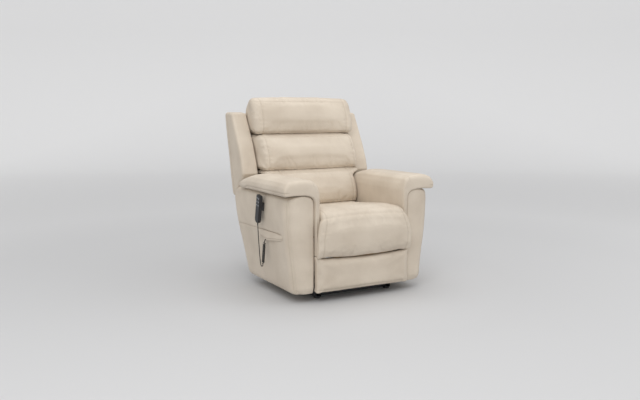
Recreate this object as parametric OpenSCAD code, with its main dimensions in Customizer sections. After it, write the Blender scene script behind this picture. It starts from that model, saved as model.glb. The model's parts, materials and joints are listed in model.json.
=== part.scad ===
// Powered lift recliner: a padded armchair on a steel base that lifts and tilts it,
// with a reclining back, a scissor footrest and a wired handset hung on the left arm.
// The chair faces -Y, +X is its left arm as a sitter sees it, and Z is up from the floor.

/* [Chair] */
// Depth of the chair, from the seat's front to the top of the back
chair_depth = 950; // [900:5:1000]
// Height of the chair
chair_height = 1085; // [1040:5:1140]
// Clear width between the arms
seat_width = 524; // [500:2:560]
// Width of one arm box
arm_width = 158; // [140:1:170]
// Half-width of the back over its wings
wing_out = 430; // [415:1:450]
// Roundness of the arm's outer front corner
arm_corner = 60; // [50:1:66]

/* [Padding] */
// Thickness of the padding on the arm's inner side
inner_pad = 27; // [24:1:32]
// Rise of a cushion's middle over its edges
crown = 9; // [5:1:12]
// Roundness of a cushion's side edges
cushion_edge = 16; // [12:1:18]
// Overhang of the arm pad beyond the arm box
pad_overhang = 21; // [16:1:26]
// Thickness of the footrest's padding
foot_pad_t = 26; // [22:1:30]
// Thickness of the outside back panel
panel_t = 24; // [18:1:28]

/* [Steelwork] */
// Thickness of the recliner plates and the footrest links
link_t = 4; // [3.5:0.25:4.5]
// End radius of a footrest link
link_r = 11; // [10:0.5:11.5]
// Radius of the footrest and back pivots
pin_r = 5; // [4.5:0.25:5.5]
// Thickness of the lift arms
lift_t = 6; // [5:0.5:6.5]
// End radius of a lift arm
lift_r = 15; // [13:0.5:16]
// Radius of the lift pivots
lift_pin_r = 8; // [7:0.5:9]
// Outer radius of the cross tubes
tube_r = 12.5; // [11:0.5:13]
// Width and height of the base's square tube
rail = 30; // [26:1:32]
// Wall of the tubes
wall = 2; // [1.5:0.25:3]
// Height of a floor glide
glide_h = 8; // [6:1:10]
// Radius of a floor glide
glide_r = 18; // [14:1:20]

/* [Motors] */
// Radius of a motor's outer tube
motor_tube_r = 15; // [13:0.5:16]
// Radius of the driven rod
rod_r = 9; // [8:0.5:10]
// Radius of a motor's mounting pins
motor_pin_r = 5; // [4.5:0.25:5.5]
// Width of the eye at each end of a motor
eye_w = 19; // [18.5:0.5:22]

/* [Timber] */
// Height of the seat frame's rails
timber_h = 32; // [28:1:34]
// Width of the seat frame's rails
timber_w = 30; // [26:1:34]
// Thickness of the footrest's board
board_t = 12; // [10:1:13]

/* [Handset] */
// Length of the handset
handset_l = 156; // [140:1:170]
// Width of the handset
handset_w = 46; // [42:1:50]
// Thickness of the handset
handset_t = 18; // [15:0.5:20]
// Lean of the handset, bottom to the rear
handset_lean = 11; // [8:0.5:16]
// Radius of the handset's cord
cord_r = 2.4; // [2:0.1:2.5]

/* [Hidden] */

// Common small sizes
bar_waist_share = 0.975;
over = 1;
play = 0.08;
slack = 0.4;
head_t = 2;
soft_gap = 2;

// Places along the depth and the height, as shares of the chair
function dy(share) = share * chair_depth;
function hz(share) = share * chair_height;
function at(share) = [dy(share[0]), hz(share[1])];

// Lanes across the chair, from the arms inwards
half_seat = seat_width / 2;
arm_gap = 2;
arm_in = half_seat + inner_pad + arm_gap;
bolt_gap = 7;
plate_out = arm_in - bolt_gap;
plate_in = plate_out - link_t;
shoulder = 5;
outer_lane = plate_in - shoulder;
lane_gap = 1.4;
inner_lane = outer_lane - link_t - lane_gap;
lift_set_in = 42;
lift_plate = plate_in - lift_set_in;
lift_gap = 2;
guide_lane = lift_plate + lift_gap + lift_t;
arm_lane = lift_plate - lift_t - lift_gap;

// Pivots of the footrest scissor, in the side view
front_top = at([-0.3063, 0.2765]);
rear_top = at([-0.2589, 0.2710]);
rear_end = at([-0.1632, 0.1180]);
front_end = at([-0.2000, 0.0691]);
foot_high = at([-0.4053, 0.2166]);
foot_low = at([-0.3947, 0.1613]);
cross_pin = at([-0.2126, 0.1217]);
open_play = 1.1;

// Pivots of the lift, in the side view
lift_base = at([-0.3316, 0.1198]);
lift_end = at([0.0421, 0.0553]);
guide_base = at([-0.2737, 0.1392]);
guide_end = at([0.1789, 0.0765]);
guide_play = 0.9;
lift_tube_at = at([-0.1347, 0.0848]);

// Pivot of the back, and the motors' pins
back_pivot = at([0.1947, 0.2673]);
lift_motor_pin = at([-0.3158, 0.0553]);
lift_rod_pin = at([-0.1263, 0.1300]);
foot_motor_pin = at([-0.1326, 0.2599]);
foot_rod_pin = at([-0.2939, 0.2507]);
recline_motor_pin = at([0.0263, 0.2332]);
recline_rod_pin = at([0.2421, 0.2323]);
lift_rod_play = 3.8;
foot_rod_play = 6.3;
recline_rod_play = 3.2;
foot_motor_x = 70;
recline_motor_x = -70;

echo(front_top = front_top, rear_top = rear_top, rear_end = rear_end, front_end = front_end);
echo(foot_high = foot_high, foot_low = foot_low, cross_pin = cross_pin, back_pivot = back_pivot);
echo(lift_base = lift_base, lift_end = lift_end, guide_base = guide_base, guide_end = guide_end);
echo(lift_motor_pin = lift_motor_pin, lift_rod_pin = lift_rod_pin);
echo(foot_motor_pin = foot_motor_pin, foot_rod_pin = foot_rod_pin);
echo(recline_motor_pin = recline_motor_pin, recline_rod_pin = recline_rod_pin);

// Colours
leather = [0.81, 0.75, 0.67];
steel = [0.20, 0.20, 0.21];
zinc = [0.62, 0.63, 0.65];
timber = [0.76, 0.62, 0.42];
plastic = [0.16, 0.16, 0.17];

// Helpers

// A flat shape drawn as (depth, height), x being its lower face across the chair
module flat(x, t) {
    translate([x, 0, 0]) rotate([90, 0, 90]) linear_extrude(t) children();
}

module on_side(s) {
    mirror([s < 0 ? 1 : 0, 0, 0]) children();
}

module pin(p, x0, x1, r) {
    translate([x0, p[0], p[1]]) rotate([0, 90, 0]) cylinder(h = x1 - x0, r = r, $fn = 48);
}

// A round-ended bar, its sides set in a little from its ends
module bar(p, q, r) {
    d = q - p;
    n = [-d[1], d[0]] * r * bar_waist_share / norm(d);
    polygon([p + n, p - n, q - n, q + n]);
    translate(p) circle(r, $fn = 48);
    translate(q) circle(r, $fn = 48);
}

module chain(points, r) {
    for (i = [0 : len(points) - 2]) bar(points[i], points[i + 1], r);
}

// A headed stud standing inwards from the face at x0, long enough for a link of thickness t
module stud_in(p, x0, rise, t, r) {
    x1 = x0 - rise - t - slack;
    if (rise > slack) pin(p, x0 - rise + slack, x0, r + head_t + slack);
    pin(p, x1, x0, r);
    pin(p, x1 - head_t, x1, r + head_t + slack);
}

module tube_x(p, half, r) {
    difference() {
        pin(p, -half, half, r);
        pin(p, -half - over, half + over, r - wall);
    }
}

// A smooth closed ring through a few points, each with a third number carried along
function knot(p, i) = p[(i + len(p)) % len(p)];
function mix4(a, b, c, d, t) =
    0.5 * (2 * b + (c - a) * t + (2 * a - 5 * b + 4 * c - d) * t * t
           + (3 * b - a - 3 * c + d) * t * t * t);
function smooth_ring(p, steps) = [
    for (i = [0 : len(p) - 1], k = [0 : steps - 1])
        mix4(knot(p, i - 1), knot(p, i), knot(p, i + 1), knot(p, i + 2), k / steps)];

// The outward normal of a ring that runs clockwise in (depth, height)
function ring_normal(p, i) =
    let (d = knot(p, i + 1) - knot(p, i - 1), n = [-d[1], d[0]]) n / norm(n);

// The rounding of a cushion's side, as an inset at distance d from the side
function edge_inset(d, r) = d >= r ? 0 : r - sqrt(r * r - (r - d) * (r - d));

function reversed(list) = [for (i = [len(list) - 1 : -1 : 0]) list[i]];
function middle(ring) = [for (c = [0 : 2]) [for (p = ring) p[c]] * [for (p = ring) 1] / len(ring)];

// Solid through rings of equal count that turn clockwise along their way, capped by a fan at
// each end. A ring that isn't round gets its fan's centre from hub, where that isn't undef; the
// hub's X is taken on the ring's own side.
module loft(rings, hub = [undef, undef, undef]) {
    m = len(rings[0]);
    n = len(rings);
    function centre(ring) = let (m = middle(ring))
        [for (c = [0 : 2]) is_undef(hub[c]) ? m[c] : c == 0 ? hub[c] * sign(m[0]) : hub[c]];
    points = concat([for (ring = rings, p = ring) p], [centre(rings[0]), centre(rings[n - 1])]);
    faces = concat(
        [for (j = [0 : n - 2], i = [0 : m - 1])
            [j * m + i, j * m + (i + 1) % m, (j + 1) * m + (i + 1) % m]],
        [for (j = [0 : n - 2], i = [0 : m - 1])
            [j * m + i, (j + 1) * m + (i + 1) % m, (j + 1) * m + i]],
        [for (i = [0 : m - 1]) [n * m, (i + 1) % m, i]],
        [for (i = [0 : m - 1]) [n * m + 1, (n - 1) * m + i, (n - 1) * m + (i + 1) % m]]);
    polyhedron(points, faces, convexity = 6);
}

// A crowned cushion: rows are depth share, height share, and how much they crown and widen
cushion_station_shares = [-1, -0.985, -0.94, -0.86, -0.6, -0.3, 0, 0.3, 0.6, 0.86, 0.94, 0.985, 1];
module cushion(profile_shares, half_rear, half_front, steps, edge, rise, hub = [undef, undef, undef]) {
    profile = [for (p = profile_shares) [dy(p[0]), hz(p[1]), p[2], p[3]]];
    ring = smooth_ring(profile, steps);
    loft([for (s = cushion_station_shares)
        [for (i = [0 : len(ring) - 1])
            let (p = ring[i],
                 w = max(0, min(2, p[2])),
                 half = half_rear + (half_front - half_rear) * max(0, min(1, p[3])),
                 inset = edge_inset(half_rear * (1 - abs(s)), edge),
                 off = rise * w * (1 - s * s) - inset,
                 q = [p[0], p[1]] + ring_normal(ring, i) * off)
            [s * half, min(q[0], rear_limit(q[1])), q[1]]]], hub);
}

// Base: a welded frame on glides, with two uprights for the lift pivots

base_front_share = -0.3530;
base_rear_share = 0.1870;
rail_z = glide_h;
rail_out = lift_plate + 1;
upright_z = rail_z + rail;

module square_tube_y(x, y0, y1) {
    translate([x, y0, rail_z]) difference() {
        cube([rail, y1 - y0, rail]);
        translate([wall, -over, wall]) cube([rail - 2 * wall, y1 - y0 + 2 * over, rail - 2 * wall]);
    }
}

module square_tube_x(y, half) {
    translate([-half, y, rail_z]) difference() {
        cube([2 * half, rail, rail]);
        translate([-over, wall, wall]) cube([2 * (half + over), rail - 2 * wall, rail - 2 * wall]);
    }
}

module upright(s) {
    on_side(s) {
        flat(lift_plate - lift_t, lift_t) difference() {
            union() {
                bar(lift_base, guide_base, lift_r + head_t);
                polygon([
                    [dy(base_front_share), upright_z], [guide_base[0] + lift_r * 2, upright_z],
                    [guide_base[0] + lift_r, guide_base[1]], [lift_base[0] - lift_r, lift_base[1]]]);
            }
            translate([(lift_base[0] + guide_base[0]) / 2, (upright_z + lift_base[1]) / 2 - head_t])
                circle(lift_r, $fn = 48);
        }
        stud_in(lift_base, lift_plate - lift_t, lift_gap, lift_t, lift_pin_r);
        mirror([1, 0, 0]) translate([-2 * lift_plate, 0, 0])
            stud_in(guide_base, lift_plate, lift_gap, lift_t, lift_pin_r);
    }
}

// Two ears and their pin, standing from a tube at foot to a motor's eye at p
module ears(p, foot, x, reach) {
    for (s = [-1, 1])
        flat(x + s * (eye_w / 2 + slack) - (s < 0 ? link_t : 0), link_t) bar(p, foot, reach);
    pin(p, x - eye_w / 2 - slack - over, x + eye_w / 2 + slack + over, motor_pin_r);
}

front_tube_y = lift_motor_pin[0] - rail / 2;

module base_frame() {
    color(steel) {
        for (s = [-1, 1]) {
            on_side(s) square_tube_y(rail_out - rail, dy(base_front_share), dy(base_rear_share));
            upright(s);
        }
        square_tube_x(front_tube_y, rail_out - rail);
        square_tube_x(dy(base_rear_share) - rail, rail_out - rail);
        difference() {
            ears(lift_motor_pin, [lift_motor_pin[0], upright_z], 0, lift_r - head_t);
            translate([-rail, front_tube_y - over, rail_z])
                cube([2 * rail, rail + 2 * over, rail - wall / 2]);
        }
    }
}

module floor_glides() {
    color(plastic) for (s = [-1, 1], y = [dy(base_front_share) + glide_r, dy(base_rear_share) - glide_r])
        translate([s * (rail_out - rail / 2), y, 0]) cylinder(h = glide_h, r = glide_r, $fn = 48);
}

// Lift: two arms on a cross tube, two guide links and the lift motor

module lift_arm(s) {
    color(steel) on_side(s) difference() {
        flat(arm_lane - lift_t, lift_t) bar(lift_base, lift_end, lift_r);
        for (p = [lift_base, lift_end])
            pin(p, arm_lane - lift_t - over, arm_lane + over, lift_pin_r + play);
    }
}

module lift_cross_tube() {
    color(steel) {
        tube_x(lift_tube_at, arm_lane - lift_t, tube_r);
        difference() {
            ears(lift_rod_pin, lift_tube_at, 0, tube_r);
            pin(lift_tube_at, -rail, rail, tube_r - wall / 2);
        }
    }
}

module guide_link(s) {
    color(steel) on_side(s) difference() {
        flat(guide_lane - lift_t, lift_t) bar(guide_base, guide_end, lift_r - head_t);
        pin(guide_base, guide_lane - lift_t - over, guide_lane + over, lift_pin_r + play);
        pin(guide_end, guide_lane - lift_t - over, guide_lane + over, lift_pin_r + guide_play);
    }
}

// Motors: a tube with its gearbox and motor beside it, and the rod that it drives

gear_share = 0.24;
can_share = 0.32;
eye_wall = 2.5;
neck_r = rod_r * 0.6;
neck_share = 0.3;
stroke_room = 8;

// Places children with +X along the line from p to q
module along(p, q, x) {
    d = q - p;
    translate([x, p[0], p[1]]) rotate([atan2(d[1], d[0]), 0, 0]) rotate([0, 0, 90]) children();
}

module eye_disc(r, w) {
    rotate([90, 0, 0]) cylinder(h = w, r = r, center = true, $fn = 48);
}

// The motor's body: rear eye, gearbox, motor can beside the tube, and the tube
module motor_body(p, q, x, tube_end, side) {
    span = norm(q - p);
    eye_r = motor_pin_r + 2 * head_t + over;
    gear_l = span * gear_share;
    gear_x = eye_r + 3 * head_t;
    can_r = motor_tube_r + head_t;
    can_y = side * (motor_tube_r + can_r);
    along(p, q, x) {
        difference() {
            union() {
                eye_disc(eye_r, eye_w);
                translate([eye_r - head_t, -eye_w / 2, -eye_r / 2]) cube([5 * head_t, eye_w, eye_r]);
            }
            eye_disc(motor_pin_r + play, eye_w + 2 * over);
        }
        translate([gear_x, 0, 0]) difference() {
            union() {
                rotate([0, 90, 0]) cylinder(h = gear_l, r = can_r, $fn = 48);
                translate([0, can_y, 0]) rotate([0, 90, 0]) cylinder(h = gear_l, r = can_r, $fn = 48);
                translate([0, min(0, can_y), -can_r]) cube([gear_l, abs(can_y), 2 * can_r]);
            }
            translate([gear_l - stroke_room, 0, 0])
                rotate([0, 90, 0]) cylinder(h = gear_l, r = rod_r + slack, $fn = 48);
        }
        translate([gear_x + gear_l, can_y, 0]) rotate([0, 90, 0]) {
            cylinder(h = span * can_share, r = can_r - head_t, $fn = 48);
            cylinder(h = span * gear_share, r = can_r - over, $fn = 48);
        }
        translate([gear_x + gear_l, 0, 0]) rotate([0, 90, 0]) difference() {
            union() {
                cylinder(h = tube_end - gear_x - gear_l, r = motor_tube_r - over, $fn = 48);
                translate([0, 0, tube_end - gear_x - gear_l - stroke_room])
                    cylinder(h = stroke_room, r = motor_tube_r, $fn = 48);
            }
            translate([0, 0, -over])
                cylinder(h = tube_end, r = rod_r + play, $fn = 48);
        }
    }
}

// The rod, from start along the tube to its eye round the driven pin, with a thinner neck
// that passes under what the pin's lug turns on
module motor_rod(p, q, x, start, hole_play) {
    span = norm(q - p);
    hole = motor_pin_r + hole_play;
    eye_r = hole + eye_wall;
    along(p, q, x) difference() {
        union() {
            translate([start, 0, 0]) rotate([0, 90, 0]) {
                cylinder(h = span * (1 - neck_share) - start, r = rod_r, $fn = 48);
                cylinder(h = span - start - hole + over, r = neck_r, $fn = 48);
            }
            translate([span, 0, 0]) eye_disc(eye_r, eye_w);
        }
        translate([span, 0, 0]) eye_disc(hole, eye_w + 2 * rod_r);
    }
}

lift_span = norm(lift_rod_pin - lift_motor_pin);
foot_span = norm(foot_rod_pin - foot_motor_pin);
recline_span = norm(recline_rod_pin - recline_motor_pin);
lift_tube_share = 0.84;
foot_tube_share = 0.80;
recline_tube_share = 0.60;
rod_start_share = 0.42;
recline_start_share = 0.50;

module lift_motor() {
    color(plastic) motor_body(lift_motor_pin, lift_rod_pin, 0, lift_span * lift_tube_share, 1);
}

module lift_motor_rod() {
    color(zinc) motor_rod(lift_motor_pin, lift_rod_pin, 0, lift_span * rod_start_share, lift_rod_play);
}

module foot_motor() {
    color(plastic) motor_body(foot_motor_pin, foot_rod_pin, foot_motor_x, foot_span * foot_tube_share, 1);
}

module foot_motor_rod() {
    color(zinc) motor_rod(foot_motor_pin, foot_rod_pin, foot_motor_x,
                          foot_span * rod_start_share, foot_rod_play);
}

module recline_motor() {
    color(plastic) motor_body(recline_motor_pin, recline_rod_pin, recline_motor_x,
                              recline_span * recline_tube_share, 1);
}

module recline_motor_rod() {
    color(zinc) motor_rod(recline_motor_pin, recline_rod_pin, recline_motor_x,
                          recline_span * recline_start_share, recline_rod_play);
}

// Chassis: side plates with the link studs, cross tubes, and the plates that the lift carries

front_tube = at([-0.1105, 0.2249]);
middle_tube = at([0, 0.1982]);
rear_tube = at([0.1579, 0.1862]);
plate_edge = 18;
bolt_r = 5;
bolt_shares = [[-0.2200, 0.2608], [-0.0300, 0.2450], [0.0632, 0.2415]];

module side_plate(s) {
    nose = front_top + [-link_r, 0];
    color(zinc) on_side(s) {
        difference() {
            flat(plate_in, link_t) {
                chain([front_top, rear_top, [middle_tube[0], rear_top[1]], back_pivot], plate_edge);
                chain([rear_top, front_tube, middle_tube, rear_tube, back_pivot], plate_edge);
                polygon([rear_top, [middle_tube[0], rear_top[1]], back_pivot,
                         rear_tube, middle_tube, front_tube]);
            }
            for (share = [0.28, 0.5, 0.72])
                pin([dy(-0.25 + share * 0.5), (rear_top[1] + middle_tube[1]) / 2],
                    plate_in - over, plate_out + over, plate_edge / 2);
        }
        for (p = [front_top, rear_top, back_pivot]) stud_in(p, plate_in, shoulder, link_t, pin_r);
        for (share = bolt_shares) pin(at(share), plate_in + over, arm_in, bolt_r);
    }
}

module lift_plate_shape() {
    difference() {
        union() {
            chain([lift_end, middle_tube], lift_r + head_t);
            chain([lift_end, guide_end, rear_tube], lift_r + head_t);
            polygon([lift_end, guide_end, rear_tube, middle_tube]);
        }
        translate((lift_end + rear_tube) / 2 + (guide_end - lift_end) / 8) circle(2 * lift_r, $fn = 48);
    }
}

module chassis_tubes() {
    color(steel) {
        for (p = [front_tube, middle_tube, rear_tube]) tube_x(p, plate_in, tube_r);
        difference() {
            union() {
                ears(foot_motor_pin, front_tube, foot_motor_x, motor_pin_r + 2 * head_t);
                ears(recline_motor_pin, middle_tube, recline_motor_x, motor_pin_r + 2 * head_t);
            }
            for (p = [front_tube, middle_tube]) pin(p, -half_seat, half_seat, tube_r - wall / 2);
        }
    }
}

module lift_plate_of(s) {
    color(steel) on_side(s) {
        difference() {
            flat(lift_plate - lift_t, lift_t) lift_plate_shape();
            for (p = [middle_tube, rear_tube])
                pin(p, lift_plate - lift_t - over, lift_plate + over, tube_r + play);
        }
        stud_in(lift_end, lift_plate - lift_t, lift_gap, lift_t, lift_pin_r);
        mirror([1, 0, 0]) translate([-2 * lift_plate, 0, 0])
            stud_in(guide_end, lift_plate, lift_gap, lift_t, lift_pin_r);
    }
}

// Seat: a timber frame on the plates, serpentine springs and the cushion

deck_z = hz(0.2931);
frame_front = dy(-0.4190);
frame_rear = dy(0.1305);
frame_mid = dy(-0.0630);
side_rail_x = inner_lane - link_t - slack - head_t - slack;

module seat_frame() {
    color(timber) {
        translate([-side_rail_x, frame_front, deck_z]) cube([2 * side_rail_x, timber_w, timber_h]);
        translate([-plate_in, frame_rear - timber_w, deck_z]) cube([2 * plate_in, timber_w, timber_h]);
        translate([-plate_in, frame_mid, deck_z]) cube([2 * plate_in, timber_w, timber_h]);
        for (s = [-1, 1]) on_side(s) translate([side_rail_x - timber_w, frame_front + timber_w, deck_z])
            cube([timber_w, frame_rear - frame_front - 2 * timber_w, timber_h]);
        for (s = [-1, 1], y = [frame_mid, frame_rear - timber_w]) on_side(s)
            translate([plate_in - timber_w, y, rear_top[1]])
                cube([timber_w, timber_w, deck_z - rear_top[1] + over]);
    }
}

spring_count = 5;
spring_wire = 4;
spring_waves = 6;
spring_steps = 8;
spring_clip = 2;
spring_swing_share = 0.30;
spring_z = deck_z + timber_h + spring_clip;
spring_length = frame_rear - frame_front - timber_w;
spring_pitch = 2 * (side_rail_x - timber_w) / spring_count;

module spring_line() {
    n = spring_waves * spring_steps;
    swing = spring_pitch * spring_swing_share;
    function wave(i) = [swing * sin(360 * i / spring_steps), spring_length * i / n];
    function side_step(i) =
        let (d = [swing * cos(360 * i / spring_steps) * 2 * PI / spring_steps, spring_length / n],
             e = [-d[1], d[0]]) e * spring_wire / 2 / norm(e);
    polygon(concat([for (i = [0 : n]) wave(i) + side_step(i)],
                   [for (i = [n : -1 : 0]) wave(i) - side_step(i)]));
}

module seat_springs() {
    color(zinc) for (k = [0 : spring_count - 1])
        translate([(k - (spring_count - 1) / 2) * spring_pitch, frame_front + timber_w / 2, 0]) {
            translate([0, 0, spring_z]) linear_extrude(spring_wire) spring_line();
            for (y = [0, spring_length])
                translate([-spring_wire * 2, y - spring_wire, deck_z + timber_h])
                    cube([spring_wire * 4, spring_wire * 2, spring_clip + spring_wire / 2]);
        }
}

// Rows run clockwise from the rear's underside, which rests just over the springs
seat_rest = 0.3;
under_share = (spring_z + spring_wire + seat_rest) / chair_height;
seat_shares = [
    [0.1280, under_share + 0.0080, 0, 0], [0.1180, under_share + 0.0015, 0, 0],
    [0.1000, under_share + 0.0003, 0, 0], [0.0400, under_share, 0, 0], [-0.3000, under_share, 0, 0],
    [-0.4060, under_share, 0, 0], [-0.4240, under_share - 0.0020, 0, 0], [-0.4260, 0.3150, 0, 0],
    [-0.4260, 0.2850, 0, 0], [-0.4280, 0.2400, 0, 0],
    [-0.4440, 0.2280, 1.6, 0.2], [-0.4640, 0.2290, 2, 1], [-0.4800, 0.2530, 1.2, 1],
    [-0.4890, 0.3050, 1, 0.9], [-0.4880, 0.3600, 1, 0.5], [-0.4740, 0.4130, 1, 0],
    [-0.4380, 0.4375, 1, 0], [-0.3800, 0.4420, 1, 0], [-0.2800, 0.4380, 1, 0], [-0.1400, 0.4245, 0.9, 0],
    [-0.0400, 0.4170, 0.5, 0], [0.0300, 0.4125, 0.15, 0], [0.1000, 0.4090, 0, 0], [0.1300, 0.3900, 0, 0]];
seat_hub = [-0.4630, 0.3870];
seat_crown_share = 0.8;

module seat_cushion() {
    hub = at(seat_hub);
    half = half_seat - soft_gap;
    color(leather) cushion(seat_shares, half, half_seat + inner_pad - slack, 2,
                           cushion_edge, crown * seat_crown_share, [half, hub[0], hub[1]]);
}

// Arms: a box with a wrapped front, and a pad that drops down the inner side

// Rows: height share, inner and outer side as shares of the arm's width, rear as depth share
arm_row_shares = [
    [0.0461, 0, 0.63, 0.1930], [0.0516, 0, 0.69, 0.1960], [0.0608, 0, 0.73, 0.2000],
    [0.0737, 0, 0.752, 0.2040], [0.0903, 0, 0.765, 0.2100], [0.1613, 0, 0.816, 0.2295],
    [0.2664, 0, 0.911, 0.2580], [0.3226, 0, 0.955, 0.2735], [0.3889, 0, 0.990, 0.2915],
    [0.4590, 0, 1, 0.3105], [0.4802, 0, 0.995, 0.3010], [0.4977, 0.028, 0.985, 0.2870],
    [0.5088, 0.083, 0.950, 0.2760], [0.5161, 0.171, 0.885, 0.2680], [0.5226, 0.365, 0.710, 0.2600]];
arm_front_y = dy(-0.4368);
wrap_depth = 19;
seam_gap = 1;
front_round = 10;
rear_round = 24;

function arm_x(share) = arm_in + arm_width * share;
function foot_inset(share) = max(0, (0.0737 - share) * chair_height * 0.35);

function corner_x(xo, t) = xo - arm_corner + arm_corner * sin(t);
function corner_y(yf, t) = yf + arm_corner - arm_corner * cos(t);
function corner_angle(depth) = acos(1 - depth / arm_corner);

function front_ring(row) =
    let (xi = arm_x(row[1]), xo = arm_x(row[2]), ins = foot_inset(row[0]), z = hz(row[0]),
         yf = arm_front_y + ins, ys = arm_front_y + wrap_depth, full = corner_angle(wrap_depth - ins))
    concat([[xi, ys, z]],
           [for (t = [0, 30, 60, 90]) [xi + front_round * (1 - cos(t)), yf + front_round * (1 - sin(t)), z]],
           [for (k = [0 : 5]) [corner_x(xo, full * k / 5), corner_y(yf, full * k / 5), z]]);

function box_ring(row) =
    let (xi = arm_x(row[1]), xo = arm_x(row[2]), z = hz(row[0]), yr = dy(row[3]),
         ys = arm_front_y + wrap_depth + seam_gap, first = corner_angle(wrap_depth + seam_gap))
    concat([[xi, yr, z], [xi, ys, z]],
           [for (k = [0 : 4]) let (t = first + (90 - first) * k / 4)
               [corner_x(xo, t), corner_y(arm_front_y, t), z]],
           [for (t = [0, 30, 60, 90])
               [xo - rear_round * (1 - cos(t)), yr - rear_round * (1 - sin(t)), z]]);

module arm_front(s) {
    color(leather) on_side(s) loft([for (row = reversed(arm_row_shares)) front_ring(row)]);
}

module arm_box(s) {
    color(leather) on_side(s) loft([for (row = reversed(arm_row_shares)) box_ring(row)]);
}

// Pad stations: depth share, top as height share, inset of the end's rounding, foot as height share
pad_station_shares = [
    [-0.4490, 0.5700, 1, 0.2440], [-0.4470, 0.5820, 0.5, 0.2425], [-0.4410, 0.5900, 0.2, 0.2420],
    [-0.4300, 0.5960, 0, 0.2430], [-0.4280, 0.5965, 0, 0.3245], [-0.3700, 0.5990, 0, 0.3245],
    [-0.1800, 0.5990, 0, 0.3245], [0.0300, 0.5975, 0, 0.3245], [0.0850, 0.5880, 0, 0.3245],
    [0.1300, 0.5785, 0.1, 0.3245], [0.1650, 0.5700, 0.35, 0.3245], [0.1850, 0.5620, 0.7, 0.3245],
    [0.1950, 0.5520, 1.2, 0.3245]];
// Pad section, clockwise from the inner foot: across share, and drop or rise share
pad_section_shares = [
    [0, -1], [0, -0.5], [0, 0], [0.02, 0.35], [0.07, 0.72], [0.17, 0.93], [0.35, 1], [0.55, 1],
    [0.75, 0.96], [0.90, 0.82], [0.98, 0.55], [1, 0.25], [0.975, 0.04], [0.93, -0.01]];
pad_under_shares = [
    [0.72, 0], [0.4180, 0.0005], [0.2644, -0.0295], [0.1970, -0.0660], [0.1548, -0.1244],
    [0, -0.2140], [0, -1]];
pad_end_inset = 8;
pad_base_share = 0.5226;
pad_drop_share = 0.1981;

module arm_pad(s) {
    x0 = half_seat;
    across = inner_pad + arm_gap + arm_width + pad_overhang;
    z0 = hz(pad_base_share) + slack;
    drop = hz(pad_drop_share);
    function section_z(v, top, foot) = v <= -1 ? foot : v < 0 ? z0 + v * drop : z0 + v * (top - z0);
    function outline(top, foot) = concat(
        [for (p = pad_section_shares) [x0 + across * p[0], section_z(p[1], top, foot)]],
        [for (p = pad_under_shares) [x0 + max(inner_pad, across * p[0]),
                                     section_z(p[1], top, foot)]]);
    hub = [x0 + inner_pad * 0.3, undef, z0 + drop * 0.1];
    color(leather) on_side(s) loft([for (st = reversed(pad_station_shares))
        let (line = outline(hz(st[1]), hz(st[3])))
        [for (i = [0 : len(line) - 1])
            let (q = line[i] - ring_normal(line, i) * pad_end_inset * st[2])
            [q[0], dy(st[0]), q[1]]]], hub);
}

// Pocket flap on the left arm's side, a band with a sagging lower edge

// Rows from the front: depth, hem and seam shares, and the stand-off as a share of the flap's
flap_row_shares = [
    [-0.3640, 0.3080, 0.3325, 0.12], [-0.3420, 0.3020, 0.3330, 0.40], [-0.3000, 0.2970, 0.3325, 0.7],
    [-0.2430, 0.2912, 0.3315, 0.9], [-0.2000, 0.2865, 0.3310, 1], [-0.1500, 0.2840, 0.3305, 1],
    [-0.0900, 0.2920, 0.3300, 0.85], [-0.0600, 0.3030, 0.3295, 0.5], [-0.0420, 0.3150, 0.3290, 0.12]];
flap_t = 11;

module pocket_flap() {
    function face_x(z) = arm_x(lookup(z, [for (row = arm_row_shares) [hz(row[0]), row[2]]]));
    color(leather) mirror([1, 0, 0]) loft([for (row = flap_row_shares)
        let (y = dy(row[0]), zl = hz(row[1]), zt = hz(row[2]), t = flap_t * row[3], ease = (zt - zl) / 4)
        [[face_x(zl) + over * 0.3, y, zl], [face_x(zl) + t, y, zl], [face_x(zl + ease) + t, y, zl + ease],
         [face_x(zt - ease) + t * 0.4, y, zt - ease], [face_x(zt) + over * 0.6, y, zt],
         [face_x(zt) + over * 0.3, y, zt - over]]]);
}

box_w = 84;
box_l = 90;
box_h = 38;
box_in = 21;

module control_box() {
    box_x = side_rail_x - timber_w - box_in - box_w;
    color(plastic) translate([box_x, frame_mid - timber_w / 2, deck_z - box_h]) {
        difference() {
            cube([box_w, box_l, box_h]);
            for (k = [1 : 5]) translate([box_w * k / 6, -over, box_h * 0.3])
                cube([head_t, head_t + over, box_h * 0.4]);
        }
        for (k = [0 : 2]) translate([box_w * (k + 0.5) / 3 - glide_h, box_l, box_h * 0.3])
            cube([2 * glide_h, head_t * 2, box_h * 0.4]);
    }
}

// Footrest: scissor links, drive tube, brackets, board and pad

module front_link(s) {
    color(zinc) on_side(s) {
        difference() {
            flat(outer_lane - link_t, link_t) chain([front_top, cross_pin, front_end], link_r);
            pin(front_top, outer_lane - link_t - over, outer_lane + over, pin_r + play);
        }
        for (p = [cross_pin, front_end]) stud_in(p, outer_lane - link_t, lane_gap, link_t, pin_r);
    }
}

module rear_link(s) {
    color(zinc) on_side(s) {
        difference() {
            flat(outer_lane - link_t, link_t) bar(rear_top, rear_end, link_r);
            pin(rear_top, outer_lane - link_t - over, outer_lane + over, pin_r + play);
        }
        stud_in(rear_end, outer_lane - link_t, lane_gap, link_t, pin_r);
    }
}

module upper_link(s) {
    color(zinc) on_side(s) difference() {
        flat(inner_lane - link_t, link_t) chain([rear_end, cross_pin, foot_high], link_r);
        for (p = [cross_pin, foot_high]) pin(p, inner_lane - link_t - over, inner_lane + over, pin_r + play);
        pin(rear_end, inner_lane - link_t - over, inner_lane + over, pin_r + open_play);
    }
}

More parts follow.
